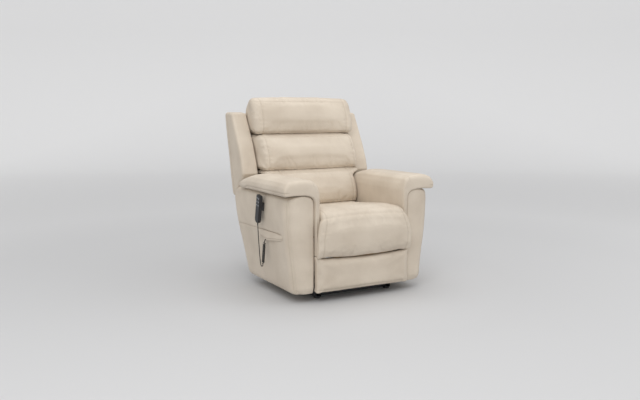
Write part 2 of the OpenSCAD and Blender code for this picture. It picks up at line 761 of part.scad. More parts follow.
module lower_link(s) {
    color(zinc) on_side(s) difference() {
        flat(inner_lane - link_t, link_t) bar(front_end, foot_low, link_r);
        pin(front_end, inner_lane - link_t - over, inner_lane + over, pin_r + play);
        pin(foot_low, inner_lane - link_t - over, inner_lane + over, pin_r + open_play);
    }
}

drive_tube_r = 10;
drive_bore = pin_r + head_t + 2 * slack;

module foot_drive_tube() {
    half = outer_lane - link_t;
    color(steel) {
        difference() {
            pin(front_top, -half, half, drive_tube_r);
            pin(front_top, -half - over, half + over, drive_bore);
        }
        difference() {
            ears(foot_rod_pin, front_top, foot_motor_x, motor_pin_r + head_t);
            pin(front_top, foot_motor_x - rail, foot_motor_x + rail, (drive_tube_r + drive_bore) / 2);
        }
    }
}

board_rear = foot_high[0] - link_r - over * 1.5;
flange_t = 3;
flange_w = 40;
flange_top = foot_high[1] + link_r / 2;
board_low = hz(0.0700);
board_high = hz(0.2140);
foot_low_z = hz(0.0480);
foot_half = arm_in - 1.5;

module foot_bracket(s) {
    color(zinc) on_side(s) {
        flat(outer_lane - link_t, link_t) difference() {
            union() {
                bar(foot_high, foot_low, link_r);
                polygon([[board_rear, flange_top], [foot_high[0], flange_top],
                         [foot_low[0], foot_low[1] - link_r], [board_rear, foot_low[1] - link_r]]);
            }
        }
        for (p = [foot_high, foot_low]) stud_in(p, outer_lane - link_t, lane_gap, link_t, pin_r);
        translate([outer_lane - flange_w, board_rear - flange_t, foot_low[1] - link_r])
            cube([flange_w, flange_t, flange_top - foot_low[1] + link_r]);
    }
}

module footrest_board() {
    half = foot_half - foot_pad_t / 2;
    color(timber) translate([-half, board_rear - flange_t - board_t, board_low])
        cube([2 * half, board_t, board_high - board_low]);
}

foot_profile_shares = [
    [0, 0, 0], [0, 1, 0], [0.30, 1.03, 0.4], [0.72, 0.99, 0.8], [0.96, 0.90, 1], [1, 0.5, 1],
    [0.96, 0.10, 1], [0.72, 0.01, 0.8], [0.30, -0.01, 0.3]];
foot_sag_share = 0.0750;
foot_edge_share = 0.6;

module footrest_pad() {
    rear = board_rear - flange_t - board_t;
    low = foot_low_z;
    high = hz(0.2244);
    ring = smooth_ring(foot_profile_shares, 3);
    color(leather) loft([for (s = reversed(cushion_station_shares))
        let (side = edge_inset(foot_half * (1 - abs(s)), cushion_edge * foot_edge_share),
             sag = (high - low) * foot_sag_share * (1 - s * s))
        [for (i = [0 : len(ring) - 1])
            let (p = ring[i], u = max(0, p[0]), v = p[1])
            [s * foot_half,
             rear - (foot_pad_t - side * 0.9 + crown * 0.5 * (1 - s * s)) * u,
             low + side * 0.5 + (high - low - side - sag * (v > 0.5 ? 1 : 0)) * max(0, min(1, v))]]]);
}

// Back: brackets, posts and rails, webbing, outside panel, wings and three cushions

lean_share = 0.2326;
back_base = at([0.3379, 0.3041]);
post_set = panel_t + slack;
post_d = 28;
post_w = 27;
post_low_share = 0.3180;
post_high_share = 0.8850;
panel_high_share = 0.9060;
panel_low_share = 0.3060;
skirt_low_share = 0.2170;

// The outside back's depth at a height share
function back_y(share) = back_base[0] + (hz(share) - back_base[1]) * lean_share;

module leaning(x, w, s0, s1, set, d) {
    flat(x, w) polygon([[back_y(s0) - set - d, hz(s0)], [back_y(s0) - set, hz(s0)],
                        [back_y(s1) - set, hz(s1)], [back_y(s1) - set - d, hz(s1)]]);
}

bracket_knee = at([0.2870, 0.3190]);
bracket_top = at([0.3040, 0.3960]);

module back_brackets() {
    color(zinc) {
        for (s = [-1, 1]) on_side(s) difference() {
            flat(outer_lane - link_t, link_t) {
                chain([back_pivot, bracket_knee, bracket_top], plate_edge - over * 3);
                bar(back_pivot, recline_rod_pin, link_r + head_t);
            }
            pin(back_pivot, outer_lane - link_t - over, outer_lane + over, pin_r + play);
        }
        pin(recline_rod_pin, -outer_lane + over, outer_lane - over, motor_pin_r);
    }
}

rail_shares = [[post_low_share, 0.0320, 0], [0.5600, 0.0320, 1], [post_high_share - 0.0320, 0.0320, 1]];

module back_frame() {
    post_in = outer_lane - link_t - post_w;
    color(timber) {
        for (s = [-1, 1]) on_side(s)
            leaning(post_in, post_w, post_low_share, post_high_share, post_set, post_d);
        for (r = rail_shares) {
            half = r[2] > 0 ? wing_in - slack : post_in;
            leaning(-half, 2 * half, r[0], r[0] + r[1], post_set + post_d / 4, post_d / 2);
        }
    }
}

webbing_t = 2;
webbing_shares = [0.40, 0.47, 0.635, 0.71, 0.785];
webbing_h_share = 0.038;

module back_webbing() {
    half = outer_lane - link_t;
    color(plastic) for (share = webbing_shares)
        leaning(-half, 2 * half, share, share + webbing_h_share, post_set + post_d, webbing_t);
}

panel_gap = 0.4;
wing_set = 69;
wing_in = half_seat + wing_set;

module back_panel() {
    half = wing_in - panel_gap;
    skirt_half = outer_lane - over;
    color(leather) difference() {
        union() {
            leaning(-half, 2 * half, panel_low_share, panel_high_share, 0, panel_t);
            leaning(-skirt_half, 2 * skirt_half, skirt_low_share, panel_low_share + 0.01, 0, panel_t);
        }
        translate([0, back_y(panel_low_share) - panel_t / 2, hz(panel_low_share) - plate_edge])
            for (s = [-1, 1]) translate([s * (half + plate_edge), 0, 0]) rotate([90, 0, 0])
                cylinder(h = 2 * panel_t, r = plate_edge, center = true, $fn = 48);
    }
}

wing_shares = [
    [0.3800, 0.9060], [0.4300, 0.9125], [0.4800, 0.9130], [0.4960, 0.9000], [0.4830, 0.8300],
    [0.4400, 0.6700], [0.3935, 0.5000], [0.3860, 0.4740], [0.3720, 0.4600], [0.3500, 0.4560],
    [0.3230, 0.4660], [0.3032, 0.4894], [0.2716, 0.5263], [0.2253, 0.5548], [0.2074, 0.5853],
    [0.2274, 0.6433], [0.2726, 0.7346],
    [0.3337, 0.8304], [0.3690, 0.8850]];
wing_edge = 14;
wing_hub = [0.3500, 0.5120];

module wing(s) {
    ring = [for (p = wing_shares) at(p)];
    width = wing_out - wing_in;
    stations = [0, 0.04, 0.15, 0.4, 0.7, 0.88, 0.96, 1];
    color(leather) on_side(s) loft([for (u = stations)
        let (side = u < 0.5 ? edge_inset(width * u, wing_edge / 2) : edge_inset(width * (1 - u), wing_edge))
        [for (i = [0 : len(ring) - 1])
            let (q = ring[i] - ring_normal(ring, i) * side)
            [wing_in + width * u, q[0], q[1]]]], [undef, dy(wing_hub[0]), hz(wing_hub[1])]);
}

cushion_set = panel_t + post_d + webbing_t + 2 * slack;
function rear_limit(z) = back_base[0] + (z - back_base[1]) * lean_share - cushion_set;
function flared(row) = [row[0], row[1], row[2], 1];
function rear_at(share) = [(back_y(share) - cushion_set) / chair_depth, share, 0, 0];
headrest_shares = [
    [0.2620, 0.7970, 0.5, 0.6], [0.2430, 0.8140, 1, 1], [0.2420, 0.8620, 1, 1], [0.2540, 0.9080, 1, 1],
    [0.2780, 0.9550, 1, 1], [0.3080, 0.9830, 1, 0.8], [0.3480, 0.9890, 1, 0.4], [0.3900, 0.9740, 0.4, 0],
    [0.4280, 0.9350, 0, 0], rear_at(0.895), rear_at(0.860), rear_at(0.820), rear_at(0.800),
    [0.3300, 0.7945, 0, 0]];
middle_shares = [
    [0.1620, 0.6035, 0.4, 0.5], [0.1440, 0.6160, 1, 1], [0.1460, 0.6600, 1, 1], [0.1660, 0.7150, 1, 1],
    [0.1990, 0.7600, 1, 1], [0.2350, 0.7840, 0.5, 0.6], [0.2900, 0.7870, 0, 0], rear_at(0.785),
    rear_at(0.730), rear_at(0.670), rear_at(0.607), [0.2500, 0.6015, 0, 0]];
lumbar_shares = [
    [0.0700, 0.4180, 0.3, 0], [0.0500, 0.4300, 1, 0], [0.0450, 0.4750, 1, 0], [0.0640, 0.5250, 1, 0],
    [0.0980, 0.5720, 1, 0], [0.1380, 0.5945, 0, 1], [0.2000, 0.5955, 0, 1], flared(rear_at(0.594)),
    rear_at(0.550), rear_at(0.470), rear_at(0.420), [0.1700, 0.4160, 0, 0]];
back_edge = 26;
lumbar_hub = [0.2400, 0.5680];
head_swell = 10;
waist_set = 12;

module headrest_cushion() {
    half = wing_in - panel_gap - 2 * soft_gap;
    color(leather) cushion(headrest_shares, half, half + head_swell, 2, back_edge, crown);
}

module middle_cushion() {
    half = wing_in - panel_gap - 2 * soft_gap;
    color(leather) cushion(middle_shares, half, half - waist_set, 2, back_edge, crown);
}

// The lumbar cushion is as wide as the seat between the arms and flares out over them
module lumbar_cushion() {
    half = half_seat - soft_gap;
    hub = at(lumbar_hub);
    color(leather) cushion(lumbar_shares, half, wing_in - waist_set, 2, cushion_edge, crown,
                           [half, hub[0], hub[1]]);
}

// Handset: holder on the left arm, shell with six sprung buttons, and its cord

holder_t = 3;
stand_off = 16;
handset_face = arm_x(1) + stand_off + handset_t;
handset_mid = at([-0.1305, 0.4378]);
end_r = 21;
top_r = 9;
button_r = 4.6;
button_h = 4.2;
button_rise = 1;
button_fit = 0.25;
button_travel = 1.2;
button_rows = 3;
button_pitch = 19;
button_side = 9.5;
button_first = 14;

// Places children in the handset's own frame: X to its front edge, Y up its length, Z out of its face
module in_handset() {
    translate([-handset_face + handset_t, handset_mid[0], handset_mid[1]])
        rotate([handset_lean, 0, 0]) rotate([90, 0, -90]) children();
}

module handset_outline(inset) {
    w = handset_w / 2 - inset;
    l = handset_l / 2 - inset;
    for (s = [-1, 1]) {
        translate([s * (w - top_r), l - top_r]) circle(top_r, $fn = 48);
        translate([s * (w - end_r), -l + end_r]) circle(end_r, $fn = 64);
    }
    polygon([[-w, -l + end_r], [w, -l + end_r], [w, l - top_r],
             [w - top_r, l], [-w + top_r, l], [-w, l - top_r]]);
    polygon([[-w + end_r, -l], [w - end_r, -l], [w - end_r, 0], [-w + end_r, 0]]);
}

function button_at(row, col) =
    [(col * 2 - 1) * button_side, handset_l / 2 - button_first - row * button_pitch - button_r];

module handset_shell() {
    edge = handset_t * 0.12;
    well = button_h - button_rise + button_travel + slack;
    color(plastic) in_handset() difference() {
        union() {
            translate([0, 0, edge]) linear_extrude(handset_t - 2 * edge) handset_outline(0);
            linear_extrude(handset_t) handset_outline(edge);
        }
        for (row = [0 : button_rows - 1], col = [0, 1])
            translate(concat(button_at(row, col), handset_t - well))
                cylinder(h = well + over, r = button_r + button_fit, $fn = 48);
    }
}

module button(row, col) {
    color([0.45, 0.46, 0.48]) in_handset()
        translate(concat(button_at(row, col), handset_t - button_h + button_rise)) {
            cylinder(h = button_h - head_t / 4, r = button_r, $fn = 48);
            cylinder(h = button_h, r = button_r - head_t / 4, $fn = 48);
        }
}

hook_w = 26;
hook_h = 44;
hook_top = 34;

module handset_holder() {
    color(plastic) translate([-arm_x(1), handset_mid[0], handset_mid[1]]) rotate([handset_lean, 0, 0]) {
        translate([-holder_t, -hook_w / 2, hook_top - hook_h]) cube([holder_t, hook_w, hook_h]);
        translate([-stand_off, -hook_w / 2, hook_top - holder_t])
            cube([stand_off, hook_w, holder_t]);
        translate([-stand_off, -handset_w / 2 - holder_t - slack, hook_top - 4 * holder_t])
            cube([holder_t, handset_w + 2 * holder_t + 2 * slack, 4 * holder_t]);
        for (s = [-1, 1]) {
            side = s * (handset_w / 2 + slack) - (s < 0 ? holder_t : 0);
            translate([-stand_off - handset_t * 0.6, side, hook_top - 4 * holder_t])
                cube([handset_t * 0.6, holder_t, 4 * holder_t]);
        }
    }
}

// Cord: down from the handset's foot, a turn, then curls up to the flap, as one tube
cord_route = [
    [-474, -111, 405], [-474, -109.5, 398], [-474, -109, 392], [-474, -109.5, 382], [-474, -111, 366],
    [-474, -113, 345], [-474, -116, 320], [-474, -120, 294], [-474, -124, 268], [-474, -128, 242],
    [-474, -132, 216], [-473.5, -135, 196], [-472.5, -137, 180], [-470, -138, 168],
    [-466.5, -138.5, 162.5], [-462.5, -138, 162], [-459.5, -137, 166]];
curl_foot = [-458, -136, 172];
curl_head = [-455, -151, 300];
curl_count = 20;
curl_lead = 1;
curl_rings = 8;
curl_r = 5.6;

function along_curl(u) = curl_foot + (curl_head - curl_foot) * u;
function curl_axis() = let (d = curl_head - curl_foot) d / norm(d);
function curl_a() = [1, 0, 0];
function curl_b() = cross(curl_axis(), curl_a());
function curl_point(i) =
    let (n = curl_count * curl_rings, a = 360 * i / curl_rings,
         u = (i + curl_lead * (min(i, curl_rings) + max(0, i - n + curl_rings)))
             / (n + 2 * curl_lead * curl_rings),
         ease = min(1, min(i, n - i) / curl_rings))
    along_curl(u) + curl_r * ease * (curl_a() * cos(a) + curl_b() * sin(a));
curl_points = [for (i = [0 : curl_count * curl_rings]) curl_point(i)];
curl_tail = [[-452, -152, 306], [-448, -153, 311], [-445, -153, 316], [-443.5, -153, 322]];
cord_points = concat(cord_route, curl_points, curl_tail);
cord_sides = 6;

function cord_ring(i) =
    let (p = cord_points, n = len(p),
         t0 = p[min(n - 1, i + 1)] - p[max(0, i - 1)], t = t0 / norm(t0),
         ref = abs(t[0]) > 0.8 ? curl_axis() : [1, 0, 0],
         a0 = ref - t * (ref * t), a = a0 / norm(a0), b = cross(t, a))
    [for (k = [0 : cord_sides - 1])
        p[i] + cord_r * (a * cos(360 * k / cord_sides) + b * sin(360 * k / cord_sides))];

least_gap = min([for (i = [0 : len(curl_points) - 1], j = [i + 5 : min(len(curl_points) - 1, i + 12)])
    if (j < len(curl_points)) norm(curl_points[i] - curl_points[j])]) - 2 * cord_r;
echo(curl_least_gap = least_gap);
echo(cord_length = [for (i = [1 : len(cord_points) - 1]) norm(cord_points[i] - cord_points[i - 1])]
                   * [for (i = [1 : len(cord_points) - 1]) 1]);

module curly_cord() {
    color(plastic) loft([for (i = [len(cord_points) - 1 : -1 : 0]) cord_ring(i)]);
}

base_frame();
floor_glides();
lift_arm(-1);  // lift_arm_left
lift_arm(1);  // lift_arm_right
lift_cross_tube();
guide_link(-1);  // guide_link_left
guide_link(1);  // guide_link_right
lift_motor();
lift_motor_rod();
side_plate(-1);  // side_plate_left
side_plate(1);  // side_plate_right
chassis_tubes();
lift_plate_of(-1);  // lift_plate_left
lift_plate_of(1);  // lift_plate_right
seat_frame();
seat_springs();
seat_cushion();
arm_box(-1);  // arm_box_left
arm_box(1);  // arm_box_right
arm_front(-1);  // arm_front_left
arm_front(1);  // arm_front_right
arm_pad(-1);  // arm_pad_left
arm_pad(1);  // arm_pad_right
pocket_flap();
control_box();
front_link(-1);  // front_link_left
front_link(1);  // front_link_right
rear_link(-1);  // rear_link_left
rear_link(1);  // rear_link_right
upper_link(-1);  // upper_link_left
upper_link(1);  // upper_link_right
lower_link(-1);  // lower_link_left
lower_link(1);  // lower_link_right
foot_drive_tube();
foot_bracket(-1);  // foot_bracket_left
foot_bracket(1);  // foot_bracket_right
footrest_board();
footrest_pad();
foot_motor();
foot_motor_rod();
back_brackets();
back_frame();
back_webbing();
back_panel();
wing(-1);  // wing_left
wing(1);  // wing_right
headrest_cushion();
middle_cushion();
lumbar_cushion();
recline_motor();
recline_motor_rod();
handset_holder();
handset_shell();
button(0, 0);  // button_lift_up
button(0, 1);  // button_lift_down
button(1, 0);  // button_back_up
button(1, 1);  // button_back_down
button(2, 0);  // button_foot_out
button(2, 1);  // button_foot_in
curly_cord();
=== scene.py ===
"""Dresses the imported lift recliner: camera, light, materials, upholstery, cord and stitching."""
import json
import math

import bmesh
import bpy
import numpy as np
from mathutils import Matrix, Vector
from mathutils.bvhtree import BVHTree


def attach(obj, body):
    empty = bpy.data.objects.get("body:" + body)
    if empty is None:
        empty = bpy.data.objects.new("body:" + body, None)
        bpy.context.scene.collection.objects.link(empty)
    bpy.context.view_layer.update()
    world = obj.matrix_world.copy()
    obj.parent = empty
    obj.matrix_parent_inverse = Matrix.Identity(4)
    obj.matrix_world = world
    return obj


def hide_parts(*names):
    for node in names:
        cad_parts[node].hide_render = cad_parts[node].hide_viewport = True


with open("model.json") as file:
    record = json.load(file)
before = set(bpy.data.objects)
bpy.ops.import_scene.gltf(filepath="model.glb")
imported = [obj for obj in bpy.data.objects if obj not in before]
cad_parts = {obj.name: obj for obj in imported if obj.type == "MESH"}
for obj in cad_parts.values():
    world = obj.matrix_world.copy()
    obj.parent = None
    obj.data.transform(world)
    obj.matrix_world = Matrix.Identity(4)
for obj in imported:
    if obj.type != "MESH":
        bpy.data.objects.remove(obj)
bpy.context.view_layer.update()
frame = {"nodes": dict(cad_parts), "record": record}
NODES = frame["nodes"]
SCENE = bpy.context.scene
SIDES = ((-1, "left"), (1, "right"))


# ---- small helpers

def link(obj):
    SCENE.collection.objects.link(obj)
    return obj


def new_object(name, mesh):
    mesh.name = name
    return link(bpy.data.objects.new(name, mesh))


def object_of(made, name, material):
    """Ends a bmesh as an object of one material."""
    mesh = bpy.data.meshes.new(name)
    made.to_mesh(mesh)
    made.free()
    mesh.materials.append(material)
    return new_object(name, mesh)


def smooth_shading(mesh):
    mesh.polygons.foreach_set("use_smooth", [True] * len(mesh.polygons))
    mesh.update()


def coordinates(mesh):
    co = np.empty(len(mesh.vertices) * 3)
    mesh.vertices.foreach_get("co", co)
    return co.reshape(-1, 3)


def set_coordinates(mesh, co):
    mesh.vertices.foreach_set("co", np.ascontiguousarray(co).ravel())
    mesh.update()


def normals(mesh):
    no = np.empty(len(mesh.vertices) * 3)
    mesh.vertices.foreach_get("normal", no)
    return no.reshape(-1, 3)


def smooth_step(a, b, x):
    """0 up to a, 1 from b on; a may be the higher of the two."""
    t = np.clip((np.asarray(x, dtype=float) - a) / (b - a), 0, 1)
    return t * t * (3 - 2 * t)


# ---- camera and light

LENS_MM, SENSOR_MM, FAR_CLIP = 39.45, 36, 60
CAMERA_PLACE, CAMERA_AIM = (-1.990, -3.5517, 0.994), (-0.043, -0.0245, 0.486)
LAMPS = (  # name, place, aim, breadth in metres, watts
    ("key", (-2.2, -2.8, 3.5), (0, 0, 0.5), 2.8, 62),
    ("fill", (3.2, -2.4, 2.2), (0, 0, 0.5), 3.0, 25),
    ("top", (0.2, 0.4, 3.8), (0, 0, 0.4), 3.0, 34))
WORLD_STRENGTH = 0.72


def aimed(name, data, place, aim):
    obj = link(bpy.data.objects.new(name, data))
    obj.location = place
    obj.rotation_euler = (Vector(aim) - Vector(place)).to_track_quat("-Z", "Y").to_euler()
    return obj


def place_camera():
    data = bpy.data.cameras.new("camera")
    data.lens = LENS_MM
    data.sensor_width = SENSOR_MM
    data.clip_end = FAR_CLIP
    SCENE.camera = aimed("camera", data, CAMERA_PLACE, CAMERA_AIM)


def light_studio():
    for name, place, aim, breadth, watts in LAMPS:
        data = bpy.data.lights.new(name, "AREA")
        data.shape = "DISK"
        data.size = breadth
        data.energy = watts
        aimed(name, data, place, aim)
    world = bpy.data.worlds.new("world")
    SCENE.world = world
    world.use_nodes = True
    background = world.node_tree.nodes["Background"]
    background.inputs["Color"].default_value = (1, 1, 1, 1)
    background.inputs["Strength"].default_value = WORLD_STRENGTH
    SCENE.view_settings.view_transform = "Standard"


place_camera()
light_studio()


# ---- shader nodes

def node(tree, kind, **values):
    """A new node; a value is put on the socket of that name, or else on the node itself."""
    made = tree.nodes.new(kind)
    for key, value in values.items():
        if key in made.inputs:
            made.inputs[key].default_value = value
        else:
            setattr(made, key, value)
    return made


def feed(tree, socket, value):
    """Joins another socket to this one, or sets it to a number or to red, green and blue."""
    if isinstance(value, bpy.types.NodeSocket):
        tree.links.new(value, socket)
    elif isinstance(value, (int, float)):
        socket.default_value = value
    else:
        socket.default_value = (*value, 1)


def object_coordinates(tree):
    return node(tree, "ShaderNodeTexCoord").outputs["Object"]


def noise(tree, vector, scale, detail, roughness=0.5):
    made = node(tree, "ShaderNodeTexNoise", Detail=detail, Roughness=roughness)
    feed(tree, made.inputs["Vector"], vector)
    feed(tree, made.inputs["Scale"], scale)
    return made.outputs["Fac"]


def ramp(tree, fac, stops):
    made = node(tree, "ShaderNodeValToRGB")
    elements = made.color_ramp.elements
    while len(elements) < len(stops):
        elements.new(0.5)
    for element, (position, colour) in zip(elements, stops):
        element.position = position
        element.color = (*colour, 1)
    feed(tree, made.inputs["Fac"], fac)
    return made.outputs["Color"]


def between(tree, value, low, high, at_low=0.0, at_high=1.0):
    """Carries a value's range, low to high, over to another, and holds it there beyond both ends."""
    made = node(tree, "ShaderNodeMapRange", **{"From Min": low, "From Max": high})
    feed(tree, made.inputs["Value"], value)
    feed(tree, made.inputs["To Min"], at_low)
    feed(tree, made.inputs["To Max"], at_high)
    return made.outputs["Result"]


def mix(tree, fac, a, b, blend="MIX"):
    made = node(tree, "ShaderNodeMix", data_type="RGBA", blend_type=blend)
    fac_socket, a_socket, b_socket = made.inputs["Factor"], made.inputs[6], made.inputs[7]
    for socket, value in ((fac_socket, fac), (a_socket, a), (b_socket, b)):
        feed(tree, socket, value)
    return made.outputs[2]


def bump(tree, height, strength, distance, below=None):
    made = node(tree, "ShaderNodeBump", Strength=strength, Distance=distance)
    feed(tree, made.inputs["Height"], height)
    if below is not None:
        feed(tree, made.inputs["Normal"], below)
    return made.outputs["Normal"]


def grey(value):
    return (value, value, value)


def tinted(base, *shares):
    return tuple(min(1, c * k) for c, k in zip(base, shares))


# ---- node groups: the surface effects that several materials share

def new_group(name, inputs, outputs):
    """An empty group with named sockets, and the two nodes where they start and end."""
    group = bpy.data.node_groups.new(name, "ShaderNodeTree")
    for in_out, sockets in (("INPUT", inputs), ("OUTPUT", outputs)):
        for socket, kind in sockets.items():
            group.interface.new_socket(name=socket, in_out=in_out, socket_type="NodeSocket" + kind)
    return group, node(group, "NodeGroupInput").outputs, node(group, "NodeGroupOutput").inputs


def fine_grain():
    """The fine even grain of moulded plastic, twisted thread and woven tape, paler on its crests."""
    group, given, gives = new_group(
        "fine_grain", {"Vector": "Vector", "Grain Scale": "Float", "Hollow": "Color", "Crest": "Color"},
        {"Color": "Color", "Normal": "Vector"})
    grain = noise(group, given["Vector"], given["Grain Scale"], detail=2.0)
    crest = between(group, grain, 0.35, 0.7)
    feed(group, gives["Color"], mix(group, crest, given["Hollow"], given["Crest"]))
    feed(group, gives["Normal"], bump(group, grain, strength=0.25, distance=0.0001))
    return group


def handling_marks():
    """Faint streaks and handling marks of painted or plated steel."""
    group, given, gives = new_group(
        "handling_marks", {"Vector": "Vector", "Dull": "Color", "Bright": "Color",
                           "Rough": "Float", "Polished": "Float"},
        {"Color": "Color", "Roughness": "Float", "Normal": "Vector"})
    marks = noise(group, given["Vector"], 60.0, detail=5.0, roughness=0.6)
    rubbed = between(group, marks, 0.3, 0.7)
    feed(group, gives["Color"], mix(group, rubbed, given["Dull"], given["Bright"]))
    feed(group, gives["Roughness"], between(group, marks, 0.3, 0.7, given["Rough"], given["Polished"]))
    pits = noise(group, given["Vector"], 720.0, detail=2.0)
    feed(group, gives["Normal"], bump(group, pits, strength=0.08, distance=0.0002))
    return group


FINE_GRAIN = fine_grain()
HANDLING_MARKS = handling_marks()


def placed(tree, group, values, bsdf, feeds):
    """Puts a group into a material with the material's own values, and joins it to the shader."""
    made = node(tree, "ShaderNodeGroup", node_tree=group)
    feed(tree, made.inputs["Vector"], object_coordinates(tree))
    for socket, value in values.items():
        feed(tree, made.inputs[socket], value)
    for output, socket in feeds.items():
        feed(tree, bsdf.inputs[socket], made.outputs[output])


# ---- materials

def shader(name, base, roughness, metallic=0.0, sheen=0.0):
    """A new material with one Principled shader; base is linear red, green and blue."""
    material = bpy.data.materials.new(name)
    material.use_nodes = True
    tree = material.node_tree
    tree.nodes.clear()
    out = node(tree, "ShaderNodeOutputMaterial")
    bsdf = node(tree, "ShaderNodeBsdfPrincipled", **{
        "Base Color": (*base, 1), "Roughness": roughness, "Metallic": metallic, "Sheen Weight": sheen})
    tree.links.new(bsdf.outputs[0], out.inputs[0])
    return material, tree, bsdf


def leather(name, base):
    """Grained hide: pebbled cells, soft creases, uneven dye, and painted shade in the seams."""
    material, tree, bsdf = shader(name, base, roughness=0.55, sheen=0.08)
    vector = object_coordinates(tree)
    cells = node(tree, "ShaderNodeTexVoronoi", Scale=620.0, feature="DISTANCE_TO_EDGE")
    feed(tree, cells.inputs["Vector"], vector)
    pebble = ramp(tree, cells.outputs["Distance"], [(0.0, grey(0)), (0.35, grey(1))])
    creases = noise(tree, vector, 46.0, detail=3.0, roughness=0.55)
    dye = noise(tree, vector, 7.0, detail=3.0)
    colour = ramp(tree, dye, [(0.3, tinted(base, 0.90, 0.88, 0.86)), (0.7, tinted(base, 1.05, 1.05, 1.05))])
    colour = mix(tree, 0.10, colour, pebble, "MULTIPLY")
    # painted shade: the seam attribute mixes the leather towards a deep brown along the seams, standing in for
    # the shadow in their grooves
    seam = node(tree, "ShaderNodeAttribute", attribute_name="seam")
    colour = mix(tree, seam.outputs["Fac"], colour, tinted(base, 0.46, 0.42, 0.36))
    feed(tree, bsdf.inputs["Base Color"], colour)
    feed(tree, bsdf.inputs["Roughness"], ramp(tree, dye, [(0.25, grey(0.48)), (0.75, grey(0.60))]))
    creased = bump(tree, creases, strength=0.16, distance=0.0010)
    grained = bump(tree, pebble, strength=0.22, distance=0.00016, below=creased)
    feed(tree, bsdf.inputs["Normal"], grained)
    return material


def plastic(name, base, roughness=0.45, grain=900.0):
    material, tree, bsdf = shader(name, base, roughness)
    crest = tuple(min(1, c * 1.25 + 0.004) for c in base)
    placed(tree, FINE_GRAIN, {"Grain Scale": grain, "Hollow": base, "Crest": crest},
           bsdf, {"Color": "Base Color", "Normal": "Normal"})
    return material


def steel(name, base, roughness, metallic):
    material, tree, bsdf = shader(name, base, roughness, metallic)
    placed(tree, HANDLING_MARKS,
           {"Dull": tinted(base, 0.8, 0.8, 0.8), "Bright": tinted(base, 1.15, 1.15, 1.15),
            "Rough": roughness + 0.1, "Polished": roughness - 0.08},
           bsdf, {"Color": "Base Color", "Roughness": "Roughness", "Normal": "Normal"})
    return material


def wood(name):
    material, tree, bsdf = shader(name, (0.55, 0.36, 0.17), roughness=0.6)
    bands = node(tree, "ShaderNodeTexWave", Scale=26.0, Distortion=5.0, Detail=3.0, bands_direction="Z")
    feed(tree, bands.inputs["Vector"], object_coordinates(tree))
    colour = ramp(tree, bands.outputs["Fac"], [(0.1, (0.44, 0.27, 0.12)), (0.9, (0.62, 0.43, 0.22))])
    feed(tree, bsdf.inputs["Base Color"], colour)
    feed(tree, bsdf.inputs["Normal"], bump(tree, bands.outputs["Fac"], strength=0.2, distance=0.0003))
    return material


PAINTED_GLOW_REACH = 16.0  # metres from the chair at which a share of 1 lies
# painted light: the backdrop's glow, none near the chair and rising over the far floor and the wall
PAINTED_GLOW = [(0.07, grey(0)), (0.14, grey(0.05)), (0.20, grey(0.12)), (0.45, grey(0.235)), (0.60, grey(0.32))]


def backdrop_material():
    """A pale grey sweep with painted light: an emission that only the camera sees, brighter the farther the
    sweep lies from the chair.
    """
    material, tree, bsdf = shader("backdrop", (0.575, 0.575, 0.58), roughness=0.7)
    distance = node(tree, "ShaderNodeVectorMath", operation="LENGTH")
    feed(tree, distance.inputs[0], object_coordinates(tree))
    share = node(tree, "ShaderNodeMath", operation="DIVIDE")
    feed(tree, share.inputs[0], distance.outputs["Value"])
    feed(tree, share.inputs[1], PAINTED_GLOW_REACH)
    camera_ray = node(tree, "ShaderNodeLightPath").outputs["Is Camera Ray"]
    # painted light: the glow is emitted for camera rays only
    feed(tree, bsdf.inputs["Emission Color"], ramp(tree, share.outputs[0], PAINTED_GLOW))
    feed(tree, bsdf.inputs["Emission Strength"], camera_ray)
    return material


LEATHER = leather("leather_beige", (0.675, 0.590, 0.485))
BLACK = plastic("black_plastic", (0.022, 0.022, 0.024))
SHELL = plastic("shell_plastic", (0.020, 0.020, 0.022), roughness=0.42)
KEY = plastic("key_plastic", (0.30, 0.31, 0.33), roughness=0.55)
STEEL = steel("black_steel", (0.03, 0.03, 0.033), roughness=0.45, metallic=0.0)
ZINC = steel("zinc_plate", (0.42, 0.43, 0.45), roughness=0.38, metallic=1.0)
TIMBER = wood("timber")
CORD = plastic("cord_jacket", (0.020, 0.020, 0.018), roughness=0.5, grain=1500.0)
THREAD = plastic("thread", (0.50, 0.42, 0.33), roughness=0.8, grain=2500.0)
PRINT = plastic("key_print", (0.62, 0.63, 0.64), roughness=0.6, grain=1500.0)
WEBBING = plastic("webbing", (0.05, 0.05, 0.055), roughness=0.9, grain=700.0)
SLOT_MATERIALS = {
    "leather": LEATHER, "timber": TIMBER, "key_plastic": KEY, "cord": CORD,
    "black_plastic": BLACK, "zinc_plate": ZINC, "black_steel": STEEL,
}


def dress(name, material):
    slots = NODES[name].data.materials
    slots.clear()
    slots.append(material)


for part in frame["record"]["subparts"]:
    dress(part["node"], SLOT_MATERIALS[part["material_slot"]])
dress("handset_shell", SHELL)
dress("back_webbing", WEBBING)


# ---- the handset's cord, on the route of its solid; its points are in millimetres

CORD_RADIUS = 0.0024
CORD_ROUTE = [
    (-474, -111, 405), (-474, -109.5, 398), (-474, -109, 392), (-474, -109.5, 382), (-474, -111, 366),
    (-474, -113, 345), (-474, -116, 320), (-474, -120, 294), (-474, -124, 268), (-474, -128, 242),
    (-474, -132, 216), (-473.5, -135, 196), (-472.5, -137, 180), (-470, -138, 168),
    (-466.5, -138.5, 162.5), (-462.5, -138, 162), (-459.5, -137, 166)]
CURL_FOOT, CURL_HEAD = np.array((-458, -136, 172)), np.array((-455, -151, 300))
CURL_TAIL = [(-452, -152, 306), (-448, -153, 311), (-445, -153, 316), (-443.5, -153, 322)]
CURLS, CURL_RADIUS, POINTS_PER_CURL = 20, 5.6, 24


